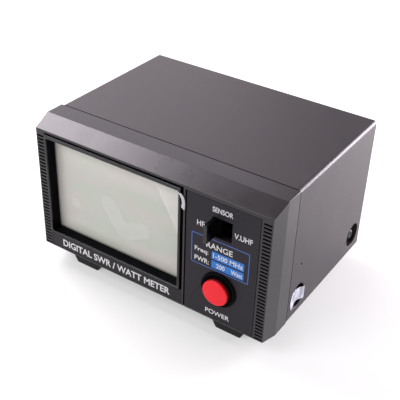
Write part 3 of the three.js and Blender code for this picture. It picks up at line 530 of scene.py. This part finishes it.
bubble = round_patch(-55.1, 45.2, 3.7)
bend = bar_patch((-30.3, 53.4), (-20.5, 39.6), 11).more(bar_patch((-20.5, 39.2), (-7, 45.4), 10.5))
peeled = film.step((x - 2.65) * 0.873 + (z - 79.2) * 0.489, -0.3, 0.3)
wrinkle = film.grain(5, 3, (0.5, 1, 2))
TAB_STARTS = -55.95
tab = 1 - film.step(y, TAB_STARTS - 0.25, TAB_STARTS + 0.25)
BUBBLE_VEIL, PEELED_VEIL, WRINKLE_VEIL, FLAT_VEIL = 0.15, 0.34, 0.04, 0.03
veil = bubble.more(bend) * BUBBLE_VEIL + peeled * PEELED_VEIL + wrinkle * WRINKLE_VEIL + FLAT_VEIL
film.give(
    Base_Color=film.colors(tab, (0.98, 0.94, 0.92), (0.50, 0.49, 0.53)),
    Alpha=veil.more(tab * 0.96),
    Roughness=film.between(wrinkle, 0.16, 0.3),
)
film.relief(wrinkle, 0.03)
print(f"the film hides {FLAT_VEIL:.0%} where flat, {BUBBLE_VEIL:.0%} more where lifted")

# %% [markdown]
# ## Surfaces from grids
# Every new shape is a grid of points worked out at once with numpy. Each row of the grid runs once round
# the piece, and the rows follow its profile. Joining neighbours gives quads. A row that is drawn together
# to one point closes a pole, so after the joining the points that coincide are made one and the faces are
# turned outwards.


# %% Meshes and pieces
SAME_POINT = 2e-7


def finished_mesh(mesh, sharp=35.0):
    """Merges points that coincide, turns faces outwards, and shades smooth below that angle."""
    work = bmesh.new()
    work.from_mesh(mesh)
    bmesh.ops.remove_doubles(work, verts=work.verts, dist=SAME_POINT)
    bmesh.ops.dissolve_degenerate(work, edges=work.edges, dist=1e-7)
    bmesh.ops.recalc_face_normals(work, faces=work.faces)
    work.to_mesh(mesh)
    work.free()
    mesh.shade_smooth()
    mesh.set_sharp_from_angle(angle=math.radians(sharp))
    return mesh


def surface(name, grid, loop=False, sharp=35.0):
    """Closed surface through rows of points in millimetres. With loop, the last row joins the first."""
    rows, columns = grid.shape[:2]
    row = np.arange(rows if loop else rows - 1)[:, None]
    column = np.arange(columns)[None, :]
    after, beside = (row + 1) % rows, (column + 1) % columns
    corners = [row * columns + column, row * columns + beside, after * columns + beside]
    quads = np.stack([*corners, after * columns + column], -1).reshape(-1, 4)
    mesh = bpy.data.meshes.new(name)
    mesh.from_pydata(grid.reshape(-1, 3) * MM, [], quads.tolist())
    return finished_mesh(mesh, sharp)


def add(name, mesh, slot, body="case", stands_for=(), finish=None):
    """Shows a mesh as a piece that rides on a body, with its slot's finish unless it has one of its own."""
    piece = bpy.data.objects.new(name, mesh)
    bpy.context.scene.collection.objects.link(piece)
    mesh.materials.clear()
    mesh.materials.append((finish or FINISHES[slot]).material)
    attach(piece, body)
    if stands_for:
        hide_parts(*stands_for)
    points = np.empty(len(mesh.vertices) * 3, np.float32)
    mesh.vertices.foreach_get("co", points)
    size = np.ptp(points.reshape(-1, 3), axis=0) / MM
    print(f"{name}: {len(mesh.polygons)} faces, {size[0]:.1f} x {size[1]:.1f} x {size[2]:.1f} mm")
    return piece


def soften(piece, width, segments=2, angle=30.0):
    """Rounds the edges that are sharper than an angle, by a width in millimetres."""
    bevel = piece.modifiers.new("rounded edges", "BEVEL")
    bevel.width, bevel.segments = width * MM, segments
    bevel.limit_method, bevel.angle_limit = "ANGLE", math.radians(angle)
    bevel.use_clamp_overlap = False
    even = piece.modifiers.new("even shading", "WEIGHTED_NORMAL")
    even.keep_sharp = True
    return piece


print(f"points closer than {SAME_POINT / MM} mm are made one")

# %% [markdown]
# ## Parts whose shape is already right
# A part of the frame is a loose set of flat triangles, and its edges are knife sharp. No moulded or folded
# part is: light always catches a thin line along its edges. A copy has its triangles joined into whole
# faces, and a Bevel modifier rounds the edges by a real radius. The copy then stands for the part.


# %% Copies with rounded edges
def whole_copy(node, sharp):
    """A copy of a frame part's mesh with shared corners merged, shaded smooth below that angle."""
    mesh = nodes[node].data.copy()
    mesh.name = node + "_shape"
    work = bmesh.new()
    work.from_mesh(mesh)
    bmesh.ops.remove_doubles(work, verts=work.verts, dist=1e-6)
    work.to_mesh(mesh)
    work.free()
    mesh.shade_smooth()
    mesh.set_sharp_from_angle(angle=math.radians(sharp))
    return mesh


def rounded_part(name, node, slot, width, body="case", segments=2, angle=30.0, sharp=None):
    """A softened copy of a frame part, which stands for it. Edges above sharp stay crisp in the shading."""
    mesh = whole_copy(node, angle if sharp is None else sharp)
    return soften(add(name, mesh, slot, body, [node]), width, segments, angle)


rounded_part("front_moulding", "front_bezel", "moulded_black", 0.16, angle=20, sharp=5)
rounded_part("cover_shell", "top_cover", "powder_coat", 0.22, angle=20)
rounded_part("case_floor", "chassis", "powder_coat", 0.15)
rounded_part("legend_panel", "control_panel", "panel_black", 0.15)
rounded_part("title_plate", "title_strip", "panel_black", 0.12)
rounded_part("window_surround", "display_surround", "surround_black", 0.35)
rounded_part("selector_lever", "selector_knob", "surround_black", 0.45, "band_selector", 3)
rounded_part("inlet_body", "supply_inlet", "surround_black", 0.2)
for end in ("front", "rear"):
    for side in ("left", "right"):
        rounded_part(f"rubber_foot_{end}_{side}", f"foot_{end}_{side}", "black_rubber", 0.5)
for socket in ("transmitter", "antenna"):
    rounded_part(f"{socket}_bead", f"{socket}_insulator", "white_fluoroplastic", 0.25)
    rounded_part(f"{socket}_pin", f"{socket}_contact", "contact_brass", 0.2)

# %% [markdown]
# ## The power button and its collar
# A push button's cap is a turned shape: its profile, carried once round its axis, gives the whole of it.
# The cap has a barely crowned face, because a flat one would look dished in the light, and a full round
# edge for the finger. Its collar is a ring with a shallow slope inside the rim, which guides the finger to
# the cap.


# %% Turned pieces
def arc(centre, radius, start, end, steps=7):
    """Points on part of a circle, from one angle to another in degrees."""
    turn = np.radians(np.linspace(start, end, steps))
    return np.array(centre) + radius * np.stack([np.cos(turn), np.sin(turn)], -1)


def turned(profile, centre, turns=96):
    """Carries a profile of (distance from the axis, place along it) once round a line along Y."""
    profile = np.asarray(profile, float)
    turn = np.linspace(0, 2 * np.pi, turns, endpoint=False)
    radius, along = profile[:, :1], profile[:, 1:]
    across, up = radius * np.cos(turn), radius * np.sin(turn)
    return np.array(centre) + np.stack([across, along + 0 * turn, up], -1)


cap_low, cap_high = (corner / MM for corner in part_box("power_cap"))
cap_radius = (cap_high.x - cap_low.x) / 2
button = np.array([(cap_low.x + cap_high.x) / 2, 0, (cap_low.z + cap_high.z) / 2])
EDGE, CROWN = 0.9, 0.22
flat = cap_radius - EDGE
reach = np.linspace(0, flat, 14)
crown = np.stack([reach, cap_low.y + CROWN * (reach / flat) ** 2], -1)
edge = arc((flat, cap_low.y + CROWN + EDGE), EDGE, -84, 0)
skirt = [(cap_radius, cap_high.y - 0.3), (cap_radius - 0.3, cap_high.y), (0, cap_high.y)]
cap = turned(np.concatenate([crown, edge, skirt]), button)
add("button_cap", surface("button_cap", cap), "red_button", "power_button", ["power_cap"])

ring_low, ring_high = (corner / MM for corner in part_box("power_collar"))
ring_radius = (ring_high.x - ring_low.x) / 2
CAP_GAP, BARREL_WALL, LIP, FLANGE_GAP = 0.3, 1.3, 0.7, 0.1
bore = cap_radius + CAP_GAP
barrel = bore + BARREL_WALL
face = plate_low.y - FLANGE_GAP
dish = [(bore, ring_low.y + 1.0), (bore + 0.4, ring_low.y + 0.65), (ring_radius - 1.3, ring_low.y + 0.12)]
rim = arc((ring_radius - LIP, ring_low.y + LIP), LIP, -115, 0)
body = [(ring_radius, face), (barrel, face), (barrel, ring_high.y), (bore, ring_high.y)]
collar = turned(np.concatenate([dish, rim, body]), button)
add(
    "button_collar",
    surface("button_collar", collar, loop=True),
    "surround_black",
    "case",
    ["power_collar"],
)

# %% [markdown]
# ## Screws
# Every screw is a pan head with a cross recess above a threaded shank. One grid makes it: the head and
# shank are a turned profile, the cross is a height taken away where a point lies near one of two lines, and
# the thread is a saw wave that climbs one pitch for each turn. The grid is made about an upright axis and
# then turned to where the screw points.

# %% Cross-head screws
SCREW_HEAD, SCREW_TALL, SHANK, PITCH = 2.8, 1.7, 1.4, 0.5
CROSS_ARM, CROSS_WIDE, CROSS_DEEP, CROSS_SLOPE = 1.55, 0.36, 0.95, 0.14
THREAD_CUT = 0.22


def screw_grid(length, turns=48):
    """Cross-head screw whose head has its underside at height 0 and whose shank goes down by that length."""
    turn = np.linspace(0, 2 * np.pi, turns, endpoint=False)
    inner = np.linspace(0, 2.0, 13)
    dome = np.stack([inner, SCREW_TALL - 0.3 * (inner / SCREW_HEAD) ** 2], -1)
    shoulder = arc((SCREW_HEAD - 0.7, SCREW_TALL - 0.9), 0.75, 72, 0, 6) - (0.05, 0)
    neck = [(SCREW_HEAD - 0.02, 0), (SHANK, 0)]
    down = np.arange(0.3, length - 0.5, PITCH / 5)
    thread = np.stack([np.full_like(down, SHANK), -down], -1)
    tip = [(SHANK * 0.7, -length), (0, -length)]
    profile = np.concatenate([dome, shoulder, neck, thread, tip])
    radius = profile[:, :1] + 0 * turn
    height = profile[:, 1:] + 0 * turn
    climb = (height / PITCH - turn / (2 * np.pi)) % 1
    cut = THREAD_CUT * np.abs(2 * climb - 1)
    threaded = (height < -0.25) & (height > -length + 0.2)
    radius = np.where(threaded, radius - cut, radius)
    across, up = radius * np.cos(turn), radius * np.sin(turn)
    off = np.minimum(np.abs(across), np.abs(up))
    arm = np.clip((CROSS_WIDE - off) / CROSS_SLOPE, 0, 1) * np.clip((CROSS_ARM - radius) / 0.2, 0, 1)
    height = height - CROSS_DEEP * arm * (height > 0.5)
    return np.stack([across, up, height], -1)


def screw(name, node, out, slot):
    """A screw in place of a frame part, with its head's top towards a direction."""
    low, high = (np.array(corner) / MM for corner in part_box(node))
    axis = int(np.argmax(np.abs(out)))
    middle = (low + high) / 2
    length = (high - low)[axis] - SCREW_TALL
    middle[axis] = (high if out[axis] > 0 else low)[axis] - SCREW_TALL * out[axis]
    turn = np.array(Vector(out).to_track_quat("Z", "Y").to_matrix())
    grid = screw_grid(length) @ turn.T + middle
    add(name, surface(name, grid, sharp=40), slot, "case", [node])


for end in ("front", "rear"):
    for side, towards in (("left", -1), ("right", 1)):
        screw(f"side_bolt_{end}_{side}", f"cover_screw_{end}_{side}", (towards, 0, 0), "black_screw")
        screw(f"foot_bolt_{end}_{side}", f"foot_screw_{end}_{side}", (0, 0, -1), "black_screw")
for socket in ("transmitter", "antenna"):
    for corner in range(1, 5):
        node = f"{socket}_flange_screw_{corner}"
        screw(f"{socket}_bolt_{corner}", node, (0, 1, 0), "socket_nickel")

# %% [markdown]
# ## The two threaded sockets
# Radio gear of this kind has a pair of round screw-on sockets at the back. Each is one turned and milled
# piece: a square flange, a barrel with a 24-turns-per-inch thread and a notched rim that stops the plug
# from turning. One closed grid goes round all of it. The flange's rows are a rounded square, the barrel's
# are circles, and a triangle wave that climbs one pitch a turn cuts the thread.

# %% Sockets
THREAD_PITCH, THREAD_DEEP = 25.4 / 24, 0.55
NOTCHES, NOTCH_DEEP = 4, 0.9


def rounded_square(half, corner, turn):
    """Distance from the middle to a square with round corners: the flat side, or the corner's own circle."""
    fold = np.abs((turn + np.pi / 4) % (np.pi / 2) - np.pi / 4)
    flat = half / np.cos(fold)
    inset = half - corner
    towards = inset * (np.cos(fold) + np.sin(fold))
    bend = towards + np.sqrt(np.maximum(corner**2 - 2 * inset**2 + towards**2, 0))
    return np.where(half * np.tan(fold) > inset, bend, flat)


def socket_grid(low, high, bore, barrel_radius, flange_thick, turns=192):
    """Flange, threaded barrel and bore as one closed surface, row by row from the back of the flange."""
    turn = np.linspace(0, 2 * np.pi, turns, endpoint=False)
    half = (high.x - low.x) / 2
    middle = np.array([(low.x + high.x) / 2, 0, (low.z + high.z) / 2])
    back, end = low.y, high.y
    face = back + flange_thick
    square = rounded_square(half, 1.2, turn)
    inner = rounded_square(half - 0.25, 1.0, turn)
    rows = [(bore + 0 * turn, back), (inner, back), (square, back + 0.2), (square, face - 0.25)]
    rows += [(inner, face), (barrel_radius + 0.35 + 0 * turn, face)]
    rows += [(barrel_radius - 0.5 + 0 * turn, face + 0.3)]
    for along in np.arange(face + 0.9, end - 0.7, THREAD_PITCH / 7):
        climb = (along / THREAD_PITCH - turn / (2 * np.pi)) % 1
        fade = min(1, (along - face - 0.9) / 0.6, (end - 0.7 - along) / 0.6 + 0.2)
        rows.append((barrel_radius - THREAD_DEEP + THREAD_DEEP * fade * np.abs(2 * climb - 1), along))
    notch = np.clip((np.cos(NOTCHES * turn) - 0.93) / 0.03, 0, 1) * NOTCH_DEEP
    rows += [(barrel_radius - 0.5 + 0 * turn, end - 1.0), (barrel_radius - 0.5 + 0 * turn, end - 0.3 - notch)]
    rows += [(barrel_radius - 0.8 + 0 * turn, end - notch), (bore + 0.3 + 0 * turn, end - notch)]
    rows += [(bore + 0 * turn, end - 0.3 - notch), (bore + 0 * turn, end - 6)]
    radius = np.stack([np.broadcast_to(r, turn.shape) for r, _ in rows])
    along = np.stack([np.broadcast_to(a, turn.shape) for _, a in rows])
    return middle + np.stack([radius * np.cos(turn), along, radius * np.sin(turn)], -1)


for socket in ("transmitter", "antenna"):
    low, high = (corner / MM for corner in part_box(f"{socket}_socket"))
    grid = socket_grid(low, high, 6.0, 7.94, 1.7)
    shell = surface(f"{socket}_shell", grid, loop=True)
    add(f"{socket}_shell", shell, "socket_nickel", "case", [f"{socket}_socket"])

# %% [markdown]
# ## The paper seal
# A small paper seal is stuck over the front screw on the right, so that a repairer can see if the cover has
# been off. A thumb has pressed it into the cup, so it sinks round the screw and stands up again over the
# screw's head, and it was stuck on a little askew. The seal is a grid between four edges, whose depth
# depends only on how far a point is from the middle of the cup, and Solidify gives it its thickness.

# %% Seal
_, seal_high = (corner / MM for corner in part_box("paper_seal"))
bolt_low, bolt_high = (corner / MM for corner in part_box("cover_screw_front_right"))
cup_y, cup_z = (bolt_low.y + bolt_high.y) / 2, (bolt_low.z + bolt_high.z) / 2
share = np.linspace(0, 1, 81)[None, :]
up = np.linspace(-1, 1, 61)[:, None]
left_edge = -6.6 - 1.6 * (1 - up**2)
seal_y = left_edge + share * (8.0 - left_edge)
upper, lower = 6.2 - 4.6 * share, -6.2 - 0.8 * share + 2.1 * (1 - (2 * share - 1) ** 2)
seal_z = lower + (upper - lower) * (up + 1) / 2


def ease(value, start, end):
    """0 at the start, 1 at the end, and level at both."""
    part = np.clip((value - start) / (end - start), 0, 1)
    return part * part * (3 - 2 * part)


from_bolt = np.hypot(seal_y, seal_z)
SINK, OVER_HEAD = 1.2, 0.5
sunk = SINK * (1 - ease(from_bolt, 3.4, 8.0)) - OVER_HEAD * (1 - ease(from_bolt, 2.0, 5.0))
seal_points = np.stack([seal_high.x - sunk, cup_y + seal_y, cup_z + seal_z], -1)


def open_sheet(name, points):
    """Open sheet of quads through a grid of points in millimetres."""
    rows, columns = points.shape[:2]
    first = (np.arange(rows - 1)[:, None] * columns + np.arange(columns - 1)[None, :]).ravel()
    quads = np.stack([first, first + 1, first + columns + 1, first + columns], -1)
    mesh = bpy.data.meshes.new(name)
    mesh.from_pydata(points.reshape(-1, 3) * MM, [], quads.tolist())
    mesh.shade_smooth()
    return mesh


def thicken(piece, thickness, offset):
    """Gives an open sheet its thickness in millimetres, to one side of it."""
    solid = piece.modifiers.new("thickness", "SOLIDIFY")
    solid.thickness, solid.offset = thickness * MM, offset
    return piece


seal = add("seal_label", open_sheet("seal_label", seal_points), "seal_paper", "case", ["paper_seal"])
thicken(seal, 0.12, -1)

# %% [markdown]
# ## The transit film and its pull tab
# The film is cut to the window and lies on the display. At the upper right it has been peeled forward, and
# the loose end curls over the edge of the surround. A film is a sheet carried along a path: down at the
# glass the path is flat with a slow ripple, and the tab's path runs forward and rolls over in a growing
# curve.

# %% Film
film_low, film_high = (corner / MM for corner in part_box("transit_film"))
film_back = film_high.y
window_right = window_high.x - OVERLAP - 0.15
film_x = np.linspace(film_low.x, window_right, 90)[None, :]
film_z = np.linspace(film_low.z, film_high.z, 70)[:, None]
ripple = 0.05 * np.sin(film_x / 7 + film_z / 19) * np.cos(film_z / 11)
film_points = np.stack([film_x + 0 * film_z, film_back - 0.12 + ripple, film_z + 0 * film_x], -1)
add("film_sheet", open_sheet("film_sheet", film_points), "clear_film", "case", ["transit_film"])

# The tab's two long edges: across from the window's right side, up from the film's top, two pulls each.
OUTER_EDGE = [(0, 0), (4.2, -0.7), (4.95, -4.4), (4.1, -9.9)]
INNER_EDGE = [(0, -1.8), (2.2, -2.7), (2.9, -5.4), (1.9, -8.6)]


def pulled_curve(points, share):
    """Cubic curve between the end points, pulled towards the other two: four weights that add to 1."""
    rest = 1 - share
    weights = np.stack([rest**3, 3 * share * rest**2, 3 * share**2 * rest, share**3], -1)
    return weights @ np.array(points, float)


along = np.linspace(-0.3, 1, 64)
outer = pulled_curve(OUTER_EDGE, np.clip(along, 0, 1))[None, :, :]
inner = pulled_curve(INNER_EDGE, np.clip(along, 0, 1))[None, :, :]
over = np.linspace(0, 1, 15)[:, None]
flat_tab = outer + (inner - outer) * over[:, :, None]
rise = np.clip(-along / 0.3, 0, 1)[None, :] ** 1.5
tab_y = film_low.y + 0.35 + (film_high.y - film_low.y - 0.6) * rise + 0.9 * (over - 0.45) ** 2
tab_points = np.stack([window_right + flat_tab[..., 0], tab_y, film_high.z + flat_tab[..., 1]], -1)
film_tab = add("film_tab", open_sheet("film_tab", tab_points), "clear_film")
thicken(film_tab, 0.1, 0)

# %% [markdown]
# ## Printed legends
# The words and frames are screen printed: a layer of ink only some hundredths of a millimetre thick.
# Blender's own text makes the letters. The text is turned into a mesh, measured, and stretched to the place
# and size of the printed word, with its face just proud of the panel. Frames and bars are thin rounded
# rectangles.


# %% Inks
def ink(name, color):
    """Printing ink: even colour, a little uneven in gloss where the screen's mesh has left its mark."""
    made = Finish(name, color)
    mesh_mark = made.grain(0.25, 2)
    made.give(
        Base_Color=made.colors(mesh_mark, tuple(c * 0.93 for c in color), color),
        Roughness=made.between(mesh_mark, 0.42, 0.55),
    )
    return made


white_ink = ink("white_ink", (0.64, 0.63, 0.65))
blue_ink = ink("blue_ink", (0.008, 0.15, 0.52))
line_ink = ink("line_ink", (0.030, 0.11, 0.36))
INK_THICK, BAR_RISE = 0.04, 0.8
print("ink is", INK_THICK, "mm thick")


def print_word(name, words, left, right, low, high, face, bold=0.012, slot="panel_black", out=-1):
    """Words as raised ink that fills a box in millimetres, on a plane facing -y, or +y if out is 1."""
    curve = bpy.data.curves.new(name, "FONT")
    curve.body, curve.offset, curve.extrude = words, bold, 0.5
    curve.resolution_u = 6
    maker = bpy.data.objects.new(name + "_maker", curve)
    bpy.context.scene.collection.objects.link(maker)
    bpy.context.view_layer.update()
    mesh = bpy.data.meshes.new_from_object(maker.evaluated_get(bpy.context.evaluated_depsgraph_get()))
    bpy.data.objects.remove(maker)
    flat_points = np.empty(len(mesh.vertices) * 3, np.float32)
    mesh.vertices.foreach_get("co", flat_points)
    letters = flat_points.reshape(-1, 3)
    start, size = letters.min(0), np.ptp(letters, axis=0)
    share = (letters - start) / size
    placed = np.stack(
        [
            left + share[:, 0] * (right - left),
            face + out * (share[:, 2] * 1.5 - 0.5) * INK_THICK,
            low + share[:, 1] * (high - low),
        ],
        -1,
    )
    mesh.vertices.foreach_set("co", (placed * MM).astype(np.float32).ravel())
    return add(name, finished_mesh(mesh), slot, finish=white_ink)


def outline(left, right, low, high, corner, steps=6):
    """Points round a rectangle with round corners, with the directions that lead out of it."""
    turns = np.radians(np.arange(4)[:, None] * 90 + np.linspace(0, 90, steps)[None, :]).ravel()
    out = np.stack([np.cos(turns), np.sin(turns)], -1)
    middle = np.array([(left + right) / 2, (low + high) / 2])
    half = np.array([(right - left) / 2, (high - low) / 2]) - corner
    quarter = np.repeat([(1, 1), (-1, 1), (-1, -1), (1, -1)], steps, axis=0)
    return middle + quarter * half + out * corner, out, middle


def print_bar(name, left, right, low, high, front, finish, line=None, corner=0.4):
    """A filled bar of ink, or with a line width only its frame."""
    edge, out, middle = outline(left, right, low, high, corner)
    rise = INK_THICK * BAR_RISE
    back, top = front + rise / 2, front - rise
    if line is None:
        rows = [(middle + 0 * edge, back), (edge, back), (edge, top), (middle + 0 * edge, top)]
    else:
        inner = edge - out * line
        rows = [(edge, back), (edge, top), (inner, top), (inner, back)]
    grid = np.stack([np.stack([p[:, 0], np.full(len(p), y), p[:, 1]], -1) for p, y in rows])
    mesh = surface(name, grid, loop=line is not None)
    return add(name, mesh, "panel_black", finish=finish)


# %% [markdown]
# ## Words on the two front panels
# The legends say what each control does: a band lever with HF on its left and V.UHF on its right, the
# ranges in a blue frame, and the power button. Each word is placed by the box that it fills, measured from
# the lower left corner of its panel, because that is how a screen for printing is drawn.

# %% Words on the two panels
panel_low, _ = (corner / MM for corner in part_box("control_panel"))
strip_low, _ = (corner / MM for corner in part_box("title_strip"))


def panel_place(left, right, low, high):
    """A box measured from the control panel's lower left corner."""
    return panel_low.x + left, panel_low.x + right, panel_low.z + low, panel_low.z + high, panel_low.y


title = (strip_low.x + 8.2, strip_low.x + 86.2, strip_low.z + 1.9, strip_low.z + 6.6, strip_low.y)
print_word("title_words", "DIGITAL SWR / WATT METER", *title, bold=0.022)
print_word("sensor_word", "SENSOR", *panel_place(15.6, 27.6, 68.4, 71.4))
print_word("left_band_word", "HF", *panel_place(6.7, 11.2, 56.7, 59.9))
print_word("right_band_word", "V.UHF", *panel_place(28.9, 39.5, 57.4, 60.6))
print_word("range_word", "RANGE", *panel_place(12.8, 28.6, 45.4, 48.9))
print_word("frequency_word", "Freq:", *panel_place(5.8, 14.2, 39.8, 43.3))
print_word("power_range_word", "PWR:", *panel_place(5.8, 14.7, 34.4, 37.5))
print_word("button_word", "POWER", *panel_place(13.8, 28.9, 2.6, 5.6))
print_bar("range_frame", *panel_place(3.6, 38.6, 32.4, 51.6), line_ink, line=0.5, corner=0.6)
print_bar("frequency_bar", *panel_place(16.3, 35.7, 39.3, 44.1), blue_ink)
print_bar("power_bar", *panel_place(16.3, 35.7, 33.7, 38.3), blue_ink)
over = -INK_THICK * BAR_RISE
*box, front = panel_place(17.1, 35.0, 40.2, 43.1)
print_word("frequency_value", "1-500 MHz", *box, front + over)
*box, front = panel_place(19.3, 24.4, 34.5, 37.3)
print_word("power_value", "200", *box, front + over)
*box, front = panel_place(28.2, 35.0, 34.5, 37.3)
print_word("power_unit", "Watt", *box, front + over)

# %% [markdown]
# ## Words beside the sockets
# On the back, short legends tell the transmitter's socket from the antenna's and name the power inlet. They
# read from behind, so their left is on the side of larger x. Each one stands centred above what it names.

# %% Words beside the sockets
REAR_WORDS = {
    "transmitter_socket": ("TX", 5.6, 14.6),
    "antenna_socket": ("ANT", 8.6, 14.6),
    "supply_inlet": ("DC IN", 10.6, 8.2),
}
REAR_TALL = 3.4
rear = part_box("chassis")[1].y / MM
for node, (words, width, above) in REAR_WORDS.items():
    low, high = (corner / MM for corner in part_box(node))
    middle, foot = (low.x + high.x) / 2, (low.z + high.z) / 2 + above
    box = (middle + width / 2, middle - width / 2, foot, foot + REAR_TALL, rear)
    print_word(f"{node}_word", words, *box, slot="powder_coat", out=1)

# %% [markdown]
# ## Finishes for the parts that stay
# The rest of the frame stays as it is, most of it hidden inside. Each part still gets the finish that its
# record names, so that the inside looks right when the case is opened. Only the slider behind the lever
# takes the black of the lever instead of the white that its record names, as painted shade in the slot
# through which it can be seen.

# %% Frame parts keep their shape
slots = {row["node"]: row["material_slot"] for row in frame["record"]["subparts"]}
# Painted shade: the slider in the lever's slot is black, though its record names white fluoroplastic.
slots["selector_slider"] = "surround_black"
for name, node in nodes.items():
    node.data.materials.clear()
    node.data.materials.append(FINISHES[slots[name]].material)
kept = [name for name, node in nodes.items() if not node.hide_render]
print(len(kept), "parts keep their shape:", ", ".join(sorted(kept)))

# %% [markdown]
# ## The floor's finish
# The floor is a plain pale sheet. A small glow of its own stands in for the light that a real white sweep
# passes on from all round, and keeps the shadow under the case soft.

# %% Floor finish
FLOOR_SHADE, FLOOR_GLOW = 0.46, 0.42
sweep = Finish("pale_sweep", (FLOOR_SHADE,) * 3, Roughness=0.9)
sweep.shader.inputs["Emission Color"].default_value = (1, 1, 1, 1)
sweep.shader.inputs["Emission Strength"].default_value = FLOOR_GLOW
floor_mesh.materials.append(sweep.material)
print("the floor returns", FLOOR_SHADE, "of the light and adds a glow of", FLOOR_GLOW)

# %% [markdown]
# ## The size
# Last, the box of everything that shows is measured. It should be the frame's own box, since the real
# object's size is already set by its solid parts.

# %% Sizes
bpy.context.view_layer.update()
visual_low, visual_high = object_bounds()
growth = (visual_high - visual_low) - (cad_high - cad_low)
print("grown by", [round(g / MM, 2) for g in growth], "mm")
